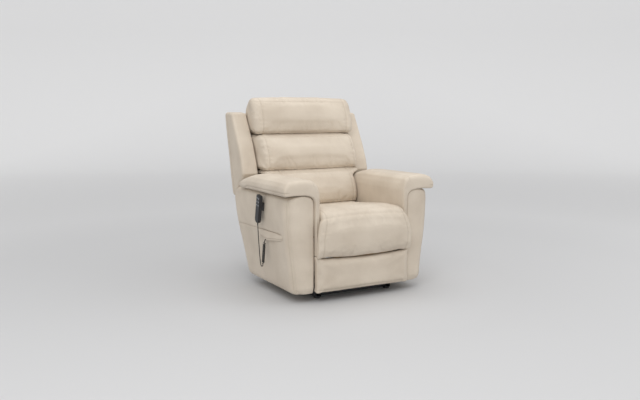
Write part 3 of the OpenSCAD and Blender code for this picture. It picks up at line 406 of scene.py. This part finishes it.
def curl_points():
    """The coil: its first and last turns rise twice as fast, and widen from nothing."""
    axis = (CURL_HEAD - CURL_FOOT) / np.linalg.norm(CURL_HEAD - CURL_FOOT)
    across = np.array((1.0, 0.0, 0.0))
    along = np.cross(axis, across)
    turn = POINTS_PER_CURL
    n = CURLS * turn
    points = []
    for i in range(n + 1):
        angle = 2 * math.pi * i / turn
        lead = min(i, turn) + max(0, i - n + turn)
        u = (i + lead) / (n + 2 * turn)
        ease = min(1, min(i, n - i) / turn)
        swing = CURL_RADIUS * ease * (across * math.cos(angle) + along * math.sin(angle))
        points.append(tuple(CURL_FOOT + (CURL_HEAD - CURL_FOOT) * u + swing))
    return points


def make_cord():
    points = [Vector(p) / 1000 for p in CORD_ROUTE + curl_points() + CURL_TAIL]
    data = bpy.data.curves.new("handset_cord", "CURVE")
    data.dimensions = "3D"
    data.bevel_depth = CORD_RADIUS
    data.bevel_resolution = 3
    data.use_fill_caps = True
    spline = data.splines.new("POLY")
    spline.points.add(len(points) - 1)
    for point, place in zip(spline.points, points):
        point.co = (*place, 1)
    cord = link(bpy.data.objects.new("handset_cord", data))
    data.materials.append(CORD)
    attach(cord, "chair")
    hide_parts("curly_cord")


make_cord()


# ---- upholstery: each panel is grown from its CAD solid

PRESSURE, CLOTH_FRAMES = 4.0, 20
SHRINK = 0.007                             # how much smaller the skin starts before it is blown up
RISE, SINK, CREASE = 0.005, 0.0010, 0.004  # how far the form may move out and in, and a crease may go


def applied(obj):
    """Bakes the object's modifiers into its mesh."""
    mesh = bpy.data.meshes.new_from_object(obj.evaluated_get(bpy.context.evaluated_depsgraph_get()))
    obj.modifiers.clear()
    old = obj.data
    obj.data = mesh
    bpy.data.meshes.remove(old)
    return obj


def remeshed(name, source, voxel):
    """A copy of a mesh as one even skin."""
    obj = new_object(name, source.data.copy())
    mod = obj.modifiers.new("remesh", "REMESH")
    mod.mode = "VOXEL"
    mod.voxel_size = voxel
    return applied(obj)


def relax(obj, steps):
    mod = obj.modifiers.new("smooth", "SMOOTH")
    mod.iterations = steps
    mod.factor = 0.5
    applied(obj)


def subdivide(obj):
    mod = obj.modifiers.new("subdivision", "SUBSURF")
    mod.levels = mod.render_levels = 1
    applied(obj)


def averaged(obj, field, rounds):
    """A value at each point, evened out with its neighbours' a number of times."""
    n = len(field)
    ends = np.empty(2 * len(obj.data.edges), dtype=np.int32)
    obj.data.edges.foreach_get("vertices", ends)
    a, b = ends.reshape(-1, 2).T
    count = np.maximum(np.bincount(a, minlength=n) + np.bincount(b, minlength=n), 1)
    for _ in range(rounds):
        total = np.bincount(a, field[b], n) + np.bincount(b, field[a], n)
        field = 0.5 * field + 0.5 * total / count
    return field


def blow_up(obj):
    """Runs the skin as cloth under pressure, from its slightly smaller start."""
    cloth = obj.modifiers.new("cloth", "CLOTH")
    cloth.settings.quality = 3
    cloth.settings.use_pressure = True
    cloth.settings.uniform_pressure_force = PRESSURE
    cloth.settings.effector_weights.gravity = 0
    cloth.settings.tension_stiffness = 25
    cloth.settings.compression_stiffness = 12
    cloth.settings.bending_stiffness = 0.6
    cloth.point_cache.frame_start = 1
    cloth.point_cache.frame_end = CLOTH_FRAMES
    for k in range(1, CLOTH_FRAMES + 1):
        SCENE.frame_set(k)
    applied(obj)
    SCENE.frame_set(1)


def inflate(obj):
    """Pads a skin. What the cloth makes of its form is held between SINK and RISE, and its creases,
    which are what stays, within CREASE. Only what faces forward or up may rise."""
    start, up = coordinates(obj.data), normals(obj.data)
    set_coordinates(obj.data, start - up * SHRINK)
    blow_up(obj)
    lift = ((coordinates(obj.data) - start) * up).sum(axis=1)
    form = averaged(obj, lift, 40)
    open_side = smooth_step(0.3, 0.8, np.maximum(-up[:, 1], up[:, 2] * 0.8))
    held = np.clip(form, -SINK, RISE * open_side)
    creases = np.clip(lift - form, -CREASE, CREASE * open_side)
    set_coordinates(obj.data, start + up * (averaged(obj, held, 6) + creases)[:, None])


def refit(obj, source, proud):
    """Brings a skin that smoothing has drawn in back to its solid's box, or a little past it."""
    co, solid = coordinates(obj.data), coordinates(source.data)
    low, high = co.min(axis=0), co.max(axis=0)
    to_low, to_high = solid.min(axis=0) - proud, solid.max(axis=0) + proud
    set_coordinates(obj.data, to_low + (co - low) * (to_high - to_low) / (high - low))


# ---- forms that go beyond the solid's

def squared(a, b, centre, radius):
    """Pushes the points of a rounded corner towards its square; a and b rise towards it."""
    amount = 0.75
    u, v = np.maximum(a - centre[0], 0) / radius, np.maximum(b - centre[1], 0) / radius
    push = 1 + amount * (np.hypot(u, v) / np.maximum(np.maximum(u, v), 1e-9) - 1)
    push = np.where((u > 0) & (v > 0), push, 1.0)
    return (np.where(u > 0, centre[0] + u * push * radius, a),
            np.where(v > 0, centre[1] + v * push * radius, b))


def roll_nose(obj):
    """The seat's nose fills its corners, rests on the footrest and rolls out before the arms' strips."""
    past_strips, rests_down, strip_outside = 0.055, 0.0028, 0.2892
    x, y, z = coordinates(obj.data).T
    front = smooth_step(-0.395, -0.412, y)
    wide, deep = squared(np.abs(x), -z, centre=(0.250, -0.274), radius=0.040)
    wide = np.abs(x) + (wide - np.abs(x)) * front
    z = z + (-deep - z) * front
    rolled = smooth_step(-0.424, -0.438, y) * smooth_step(0.462, 0.420, z)
    wide = np.minimum(wide * (1 + past_strips * rolled), np.maximum(strip_outside, np.abs(x)))
    z = z - rests_down * front * smooth_step(0.275, 0.245, z)
    set_coordinates(obj.data, np.stack([np.sign(x) * wide, y, z], axis=1))


def fill_pad(obj):
    """The footrest's leather fills its upper corners and wraps round the ends of its board."""
    wrap = 0.020
    x, y, z = coordinates(obj.data).T
    wide, high = squared(np.abs(x), z, centre=(0.268, 0.222), radius=0.0225)
    y = y + wrap * smooth_step(-0.424, -0.413, y) * smooth_step(0.277, 0.286, wide)
    set_coordinates(obj.data, np.stack([np.sign(x) * wide, y, high], axis=1))


def long_strip(obj):
    """The arm pad's inner strip hangs down to the footrest's top, outside the scissor's links."""
    deeper, lower = 0.022, 0.0170
    co = coordinates(obj.data)
    outside = smooth_step(0.2775, 0.2830, np.abs(co[:, 0]))
    tail = smooth_step(0.352, 0.335, co[:, 2]) * smooth_step(-0.422, -0.408, co[:, 1])
    co[:, 1] += deeper * tail * outside
    co[:, 2] -= lower * smooth_step(0.300, 0.264, co[:, 2]) * outside
    set_coordinates(obj.data, co)


# ---- sewing

def groove(obj, distance, along, depth, width, mask, pucker=0.0, pitch=0.030, shade=1.0):
    """Sinks a seam line into a cover, gathers the leather beside it and paints shade along the line."""
    mesh = obj.data
    line = np.exp(-(distance / width) ** 2) * mask
    beside = np.exp(-((distance - 3.2 * width) / (2.6 * width)) ** 2) * mask
    wave = 0.5 + 0.5 * np.sin(2 * math.pi * along / pitch + 1.7 * np.sin(along * 61.0))
    move = -depth * line + (pucker * wave - 0.3 * pucker) * beside
    set_coordinates(mesh, coordinates(mesh) + normals(mesh) * move[:, None])
    # painted shade: the seam attribute holds how far the leather shader darkens each point, most on the seam
    # line, where the groove's shadow falls
    if "seam" not in mesh.attributes:
        mesh.attributes.new("seam", "FLOAT", "POINT")
    values = np.empty(len(mesh.vertices))
    mesh.attributes["seam"].data.foreach_get("value", values)
    painted_shade = np.exp(-(distance / (0.75 * width)) ** 2) * mask * shade
    mesh.attributes["seam"].data.foreach_set("value", np.maximum(values, painted_shade))


def soften(obj, co, amount):
    """Long shallow rises and falls of stuffed leather, in two waves of unlike lengths."""
    x, y, z = co.T
    wave = (np.sin(13.0 * x + 9.0 * z + 1.3) * np.sin(17.0 * z - 7.0 * x + 5.0 * y)
            + 0.6 * np.sin(31.0 * x + 4.0 * y) * np.sin(23.0 * z + 11.0 * y + 0.7))
    set_coordinates(obj.data, coordinates(obj.data) + normals(obj.data) * (amount * wave)[:, None])


def line_distance(points, line):
    """Distance of points to a polyline, and how far along it the nearest place is."""
    line = np.asarray(line, dtype=float)
    best = np.full(len(points), np.inf)
    along = np.zeros(len(points))
    done = 0.0
    for a, b in zip(line, line[1:]):
        length = np.linalg.norm(b - a)
        t = np.clip((points - a) @ (b - a) / length ** 2, 0, 1)
        d = np.linalg.norm(points - (a + t[:, None] * (b - a)), axis=1)
        closer = d < best
        best = np.where(closer, d, best)
        along = np.where(closer, done + t * length, along)
        done += length
    return best, along


# ---- the seams of each panel: each function gets the cover, and its points before they move

POCKET_SEAM = [  # how far forward, and how high, along the arm's outside
    (0.250, 0.351), (0.118, 0.355), (-0.020, 0.357), (-0.104, 0.3585), (-0.207, 0.3595), (-0.330, 0.3615)]
HEM = [
    (-0.347, 0.335), (-0.325, 0.3285), (-0.285, 0.323), (-0.231, 0.317), (-0.190, 0.312),
    (-0.1425, 0.309), (-0.0855, 0.3175), (-0.057, 0.3295), (-0.040, 0.342)]


def rear_face(z):
    """How far back the leaning back's rear face is, at a height."""
    return 0.321 + (z - 0.330) * 0.2326


def gussets(half, low, high, rear):
    """The upright seams where a back cushion's front panel meets its gussets, half a panel from its
    middle, and the faint ones along its lower and upper edges; all fade out at the rear."""
    def sew(obj, co):
        mask = smooth_step(rear, rear - 0.03, co[:, 1])
        groove(obj, np.abs(np.abs(co[:, 0]) - half), co[:, 2], depth=0.0022, width=0.0040, mask=mask,
               pucker=0.0014, pitch=0.034, shade=0.25)
        for edge, pitch in ((low, 0.042), (high, 0.046)):
            groove(obj, np.abs(co[:, 2] - edge), co[:, 0], depth=0.0014, width=0.0040, mask=mask,
                   pucker=0.0010, pitch=pitch, shade=0.12)
        soften(obj, co, 0.0009)
    return sew


def seat_seams(obj, co):
    """The seam over the nose's crest, and one along each side of the seat."""
    x, y, z = co.T
    crest = z + 0.35 * (y + 0.458) - (0.452 + 0.010 * (1 - (x / 0.26) ** 2))
    front = smooth_step(-0.40, -0.43, y)
    groove(obj, np.abs(crest), x, depth=0.0022, width=0.0085, mask=front,
           pucker=0.0022, pitch=0.070, shade=0.10)
    edge = np.abs(np.abs(x) - (0.238 + 0.022 * smooth_step(0.46, 0.33, z)))
    top = np.maximum(smooth_step(0.43, 0.45, z), front)
    groove(obj, edge, y + z, depth=0.0018, width=0.0036, mask=top, pucker=0.0012, pitch=0.036, shade=0.30)
    soften(obj, co, 0.0012)


def foot_seams(obj, co):
    """The footrest's low seam."""
    x, y, z = co.T
    front = smooth_step(-0.418, -0.428, y)
    groove(obj, np.abs(z - 0.070), x, depth=0.0016, width=0.0032, mask=front,
           pucker=0.0008, pitch=0.040, shade=0.30)
    soften(obj, co, 0.0010)


def pad_seams(obj, co):
    """The arm pad's welt round its lower outer edge, down its inner strip and along its top."""
    x, y, z = co.T
    x = np.abs(x)
    rim = smooth_step(0.43, 0.45, x)
    welt = np.abs(z - (0.586 - 0.05 * smooth_step(0.03, 0.19, y)))
    groove(obj, welt, y, depth=0.0020, width=0.0030, mask=rim, pucker=0.0010, pitch=0.036, shade=0.45)
    strip = smooth_step(0.560, 0.545, z) * smooth_step(-0.40, -0.41, y)
    groove(obj, np.abs(x - 0.2765), z, depth=0.0014, width=0.0028, mask=strip, shade=0.35)
    top = smooth_step(0.60, 0.625, z) * smooth_step(0.02, 0.0, y)
    groove(obj, np.abs(x - 0.300), y, depth=0.0012, width=0.0036, mask=top,
           pucker=0.0014, pitch=0.040, shade=0.20)
    soften(obj, co, 0.0012)


def box_seams(obj, co):
    """The pocket's upper seam along the arm's outside, and the one where the arm's front is wrapped."""
    x, y, z = co.T
    outer = smooth_step(0.36, 0.39, np.abs(x))
    seam, along = line_distance(co[:, 1:], POCKET_SEAM)
    groove(obj, seam, along, depth=0.0020, width=0.0032, mask=outer, pucker=0.0006, pitch=0.050, shade=0.50)
    front = smooth_step(-0.380, -0.392, y)
    groove(obj, np.abs(y + 0.3885), z, depth=0.0010, width=0.0026, mask=outer * front, shade=0.35)
    soften(obj, co, 0.0009)


def front_seams(obj, co):
    soften(obj, co, 0.0006)


def wing_seams(obj, co):
    """An upright seam along the wing's outer face, near its rear edge."""
    x, y, z = co.T
    outer = smooth_step(0.39, 0.42, np.abs(x))
    groove(obj, np.abs(y - (rear_face(z) - 0.034)), z, depth=0.0022, width=0.0034, mask=outer,
           pucker=0.0010, pitch=0.045, shade=0.40)
    soften(obj, co, 0.0009)


def panel_seams(obj, co):
    """The outside back: a welt round its border and a zip flap's seam above the skirt."""
    half, top, flap = 0.312, 0.962, 0.352
    x, y, z = co.T
    behind = smooth_step(-0.014, -0.006, y - rear_face(z))
    border = np.minimum(np.abs(np.abs(x) - half), np.where(np.abs(x) < half, np.abs(z - top), 1))
    groove(obj, border, x + z, depth=0.0022, width=0.0034, mask=behind, pucker=0.0010, pitch=0.040, shade=0.50)
    groove(obj, np.abs(z - flap), x, depth=0.0022, width=0.0034, mask=behind,
           pucker=0.0010, pitch=0.040, shade=0.55)
    soften(obj, co, 0.0010)


def flap_seams(obj, co):
    """The pocket's hem."""
    above_hem = 0.008
    seam, along = line_distance(co[:, 1:], [(y, z + above_hem) for y, z in HEM])
    groove(obj, seam, along, depth=0.0012, width=0.0024, mask=1.0, pucker=0.0006, pitch=0.02, shade=0.45)


SEAMS = {
    "headrest_cushion": gussets(half=0.283, low=0.872, high=1.052, rear=0.33),
    "middle_cushion": gussets(half=0.286, low=0.664, high=0.846, rear=0.28),
    "lumbar_cushion": gussets(half=0.226, low=0.470, high=0.640, rear=0.17),
    "seat_cushion": seat_seams, "footrest_pad": foot_seams,
    "arm_pad_left": pad_seams, "arm_pad_right": pad_seams,
    "arm_box_left": box_seams, "arm_box_right": box_seams,
    "arm_front_left": front_seams, "arm_front_right": front_seams,
    "wing_left": wing_seams, "wing_right": wing_seams,
    "back_panel": panel_seams, "pocket_flap": flap_seams,
}
FORMS = {
    "seat_cushion": roll_nose, "footrest_pad": fill_pad,
    "arm_pad_left": long_strip, "arm_pad_right": long_strip,
}
PROUD = {  # how far a skin stands past its solid's box
    "headrest_cushion": (0, 0, 0.0020), "middle_cushion": (0, 0, 0.0022),
    "lumbar_cushion": (0, 0, 0.0020), "footrest_pad": (0.0018, 0, 0.0020),
}
SOFT = {  # blown up as cloth: the body that carries it, and the remesh's voxel
    "seat_cushion": ("chair", 0.007), "headrest_cushion": ("back", 0.006),
    "middle_cushion": ("back", 0.006), "lumbar_cushion": ("back", 0.006),
    "footrest_pad": ("footrest", 0.006),
}
FIRM = {  # padding that keeps its solid's form
    "arm_pad_left": ("chair", 0.005), "arm_pad_right": ("chair", 0.005),
    "arm_box_left": ("chair", 0.006), "arm_box_right": ("chair", 0.006),
    "arm_front_left": ("chair", 0.004), "arm_front_right": ("chair", 0.004),
    "wing_left": ("back", 0.006), "wing_right": ("back", 0.006),
    "back_panel": ("back", 0.006), "pocket_flap": ("chair", 0.002),
}


def upholster(name, body, voxel, steps, soft):
    """Replaces a soft solid by a padded leather skin of the same form, and sews it."""
    obj = remeshed(name + "_cover", NODES[name], voxel)
    relax(obj, steps)
    refit(obj, NODES[name], PROUD.get(name, (0, 0, 0)))
    if soft:
        inflate(obj)
        relax(obj, 1)
    if name in FORMS:
        FORMS[name](obj)
    subdivide(obj)
    smooth_shading(obj.data)
    obj.data.materials.clear()
    obj.data.materials.append(LEATHER)
    SEAMS[name](obj, coordinates(obj.data))
    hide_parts(name)
    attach(obj, body)
    return obj


COVERS = {name: upholster(name, body, voxel, steps=4, soft=True) for name, (body, voxel) in SOFT.items()}
COVERS.update({name: upholster(name, body, voxel, steps=3, soft=False)
               for name, (body, voxel) in FIRM.items()})


# ---- bodies drawn out of a flat ring

def ring_matrix(centre, half_x, half_y):
    return Matrix.Translation(centre) @ Matrix.Diagonal((half_x, half_y, 1, 1))


def extruded(made, face):
    """Extrudes a face; gives the new face and its corners. With its edges and corners named too,
    the old face goes, unless it is the body's first, which closes the other end."""
    grown = bmesh.ops.extrude_face_region(made, geom=[face, *face.edges, *face.verts])["geom"]
    return (next(g for g in grown if isinstance(g, bmesh.types.BMFace)),
            [g for g in grown if isinstance(g, bmesh.types.BMVert)])


def drawn_out(corners, rings, place=None):
    """A closed body along local Z: a flat face, extruded from each ring to the next. A ring is its
    centre and its half widths in X and Y."""
    made = bmesh.new()
    before = ring_matrix(*rings[0])
    bmesh.ops.create_circle(made, cap_ends=True, segments=corners, radius=1.0, matrix=before)
    cap = next(iter(made.faces))
    for ring in rings[1:]:
        after = ring_matrix(*ring)
        cap, verts = extruded(made, cap)
        bmesh.ops.transform(made, matrix=after @ before.inverted(), verts=verts)
        before = after
    if place is not None:
        bmesh.ops.transform(made, matrix=place, verts=made.verts)
    bmesh.ops.recalc_face_normals(made, faces=made.faces)
    return made


# ---- topstitching: short threads laid on the covers beside their seams

STITCH = 0.0052
THREAD_HALF_WIDE, THREAD_HALF_THICK = 0.00042, 0.00036
THREAD_RINGS = (  # share of the stitch, height above the leather, share of the thickness
    (-0.40, -0.0003, 0.6), (-0.20, 0.00035, 1.0), (0.20, 0.00035, 1.0), (0.40, -0.0003, 0.6))


def thread_mesh():
    """One stitch along local Z, its ends sunk into the leather; local Y points away from that."""
    made = drawn_out(4, [((0, rise, u * STITCH), w * THREAD_HALF_WIDE, w * THREAD_HALF_THICK)
                         for u, rise, w in THREAD_RINGS])
    mesh = bpy.data.meshes.new("one_stitch")
    made.to_mesh(mesh)
    made.free()
    return mesh


ONE_STITCH = thread_mesh()


def spread(line, pitch):
    """Points at an even pitch along a polyline."""
    points = [Vector(p) for p in line]
    laid, left = [], 0.0
    for a, b in zip(points, points[1:]):
        length = (b - a).length
        while left <= length:
            laid.append(a.lerp(b, left / length))
            left += pitch
        left -= length
    return laid


def laid_on(mesh, line, look):
    """The places, and their normals, where a line falls on a cover, seen along look."""
    tree = BVHTree.FromPolygons([v.co for v in mesh.vertices], [p.vertices[:] for p in mesh.polygons])
    look = Vector(look).normalized()
    hits = [tree.ray_cast(point - look * 0.3, look) for point in spread(line, STITCH)]
    return [(hit, normal) for hit, normal, _, _ in hits if hit is not None]


def topstitch(name, cover, body, line, look):
    """A row of threads on a cover, with none across a gap."""
    places = laid_on(COVERS[cover].data, line, look)
    made = bmesh.new()
    for (a, normal), (b, _) in zip(places, places[1:]):
        run = b - a
        if run.length > 3 * STITCH:
            continue
        along = run.normalized()
        side = along.cross(normal).normalized()
        turned = Matrix((side, normal, along)).transposed().to_4x4()
        done = len(made.verts)
        made.from_mesh(ONE_STITCH)
        bmesh.ops.transform(made, matrix=Matrix.Translation((a + b) / 2) @ turned, verts=made.verts[done:])
    bmesh.ops.recalc_face_normals(made, faces=made.faces)
    obj = object_of(made, name, THREAD)
    smooth_shading(obj.data)
    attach(obj, body)


def upright(x, y, low, high, count):
    return [(x, y, z) for z in np.linspace(low, high, count)]


def level(half, y, z):
    return [(x, y, z) for x in np.linspace(-half, half, 60)]


TO_REAR, TO_RIGHT, TO_LEFT, TO_FRONT = (0, 1, 0), (1, 0, 0), (-1, 0, 0), (0, -1, 0)
for s, tag in SIDES:
    inward = TO_RIGHT if s < 0 else TO_LEFT
    topstitch("headrest_stitch_" + tag, "headrest_cushion", "back",
              upright(s * 0.275, 0.2, 0.885, 1.060, 40), TO_REAR)
    topstitch("middle_stitch_" + tag, "middle_cushion", "back",
              upright(s * 0.278, 0.1, 0.665, 0.845, 40), TO_REAR)
    topstitch("arm_stitch_%s_0" % tag, "arm_box_" + tag, "chair",
              upright(s * 0.4, -0.3835, 0.062, 0.535, 60), inward)
    topstitch("arm_stitch_%s_1" % tag, "arm_front_" + tag, "chair",
              upright(s * 0.4, -0.4015, 0.062, 0.535, 60), inward)
    topstitch("wing_stitch_" + tag, "wing_" + tag, "back",
              [(s * 0.4, rear_face(z) - 0.041, z) for z in np.linspace(0.36, 0.97, 60)], inward)
topstitch("pocket_stitch", "arm_box_left", "chair",
          [(-0.4, y, z + 0.006) for y, z in POCKET_SEAM], TO_RIGHT)
topstitch("hem_stitch", "pocket_flap", "chair",
          [(-0.4, y, z + 0.013) for y, z in HEM[1:7] + [(-0.060, 0.3285)]], TO_RIGHT)
topstitch("foot_stitch", "footrest_pad", "footrest", level(0.275, -0.4, 0.077), TO_REAR)
topstitch("panel_stitch", "back_panel", "back", level(0.25, 0.4, 0.359), TO_FRONT)


# ---- small fittings: marks on the keys, a sleeve on the cord, nuts on the lift's studs

def fitting(made, name, material, body):
    obj = object_of(made, name, material)
    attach(obj, body)


HANDSET_LEAN = math.radians(11)
MARK_SIZE, MARK_PROUD = 0.0017, 0.0001
ARROWHEAD = ((0.0, 1.0), (1.05, -0.55), (0.0, -0.05), (-1.05, -0.55))
KEYS = (("lift_up", 1), ("lift_down", -1), ("back_up", 1), ("back_down", -1), ("foot_out", 1), ("foot_in", -1))


def key_mark(key, up):
    """An arrowhead printed on a key, pointing up or down the handset."""
    co = coordinates(NODES["button_" + key].data)
    low, high = co.min(axis=0), co.max(axis=0)
    on_key = (Matrix.Translation((low[0], (low[1] + high[1]) / 2, (low[2] + high[2]) / 2))
              @ Matrix.Rotation(HANDSET_LEAN, 4, "X"))
    made = bmesh.new()
    corners = [made.verts.new((MARK_PROUD, up * MARK_SIZE * a, up * MARK_SIZE * b)) for a, b in ARROWHEAD]
    _, verts = extruded(made, made.faces.new(corners))
    bmesh.ops.translate(made, vec=(-2 * MARK_PROUD, 0, 0), verts=verts)
    bmesh.ops.transform(made, matrix=on_key, verts=made.verts)
    bmesh.ops.recalc_face_normals(made, faces=made.faces)
    fitting(made, "mark_" + key, PRINT, "key_" + key)


def cord_sleeve():
    """A ribbed strain relief where the cord leaves the handset: narrower all the way down, and
    narrower again at every other ring."""
    rings = []
    for k in range(13):
        radius = 0.0044 - 0.00011 * k - (0.0005 if k % 2 else 0)
        rings.append(((-0.474, -0.1098 + 0.0001 * k, 0.3990 - 0.0012 * k), radius, radius))
    return drawn_out(24, rings)


NUT_HALF, NUT_THICK, NUT_SUNK = 0.0085, 0.0030, 0.0002


def nut(stud_face, outward, pivot):
    """A hexagon nut with a chamfered crown, standing on a stud's head and facing along X."""
    crown = 0.84 * NUT_HALF
    y, z = pivot
    return drawn_out(
        6, [((0, 0, -NUT_SUNK), NUT_HALF, NUT_HALF), ((0, 0, 0.7 * NUT_THICK), NUT_HALF, NUT_HALF),
            ((0, 0, NUT_THICK), crown, crown)],
        place=Matrix(((0, 0, outward, stud_face), (0, 1, 0, y), (1, 0, 0, z), (0, 0, 0, 1))))


def pivot_of(joint):
    found = next(j for j in frame["record"]["behaviour"]["joints"] if j["name"] == joint)
    return found["pos_m"][1:]


for key, up in KEYS:
    key_mark(key, up)
fitting(cord_sleeve(), "cord_sleeve", CORD, "chair")

DEPTH, HEIGHT = 0.950, 1.085  # the chair's, of which the guide's end is a share, as in its source
LIFT_STUD, GUIDE_STUD = 0.2216, 0.2484
STUDS = (  # which stud, its pivot, the body that it rides on, its face, the way that it faces
    ("lift_base", pivot_of("lift"), "base", LIFT_STUD, -1),
    ("lift_end", pivot_of("lift_chair_tilt"), "chair", LIFT_STUD, -1),
    ("guide_base", pivot_of("lift_guide"), "base", GUIDE_STUD, 1),
    ("guide_end", (0.1789 * DEPTH, 0.0765 * HEIGHT), "chair", GUIDE_STUD, 1))
for s, tag in SIDES:
    for which, pivot, body, face, outward in STUDS:
        fitting(nut(s * face, s * outward, pivot), "nut_%s_%s" % (which, tag), ZINC, body)


# ---- the floor and backdrop

FLOOR_FRONT, FLOOR_REAR, WALL_TOP, HALF_WIDE, SWEEP = -14.0, 7.0, 9.0, 16.0, 2.5
BEHIND_CHAIR = math.radians(-28.9)  # turns the wall square to the camera


def make_backdrop():
    """A floor that curves up into a wall behind the chair."""
    profile = [(FLOOR_FRONT, 0.0), (FLOOR_REAR, 0.0)]
    profile += [(FLOOR_REAR + SWEEP * math.sin(a), SWEEP - SWEEP * math.cos(a))
                for a in np.linspace(0.1, math.pi / 2, 12)]
    profile += [(FLOOR_REAR + SWEEP, WALL_TOP)]
    made = bmesh.new()
    verts = [made.verts.new((-HALF_WIDE, y, z)) for y, z in profile]
    edges = [made.edges.new(pair) for pair in zip(verts, verts[1:])]
    swept = bmesh.ops.extrude_edge_only(made, edges=edges)["geom"]
    bmesh.ops.translate(made, vec=(2 * HALF_WIDE, 0, 0),
                        verts=[g for g in swept if isinstance(g, bmesh.types.BMVert)])
    bmesh.ops.rotate(made, matrix=Matrix.Rotation(BEHIND_CHAIR, 3, "Z"), verts=made.verts)
    backdrop = object_of(made, "backdrop", backdrop_material())
    smooth_shading(backdrop.data)


make_backdrop()
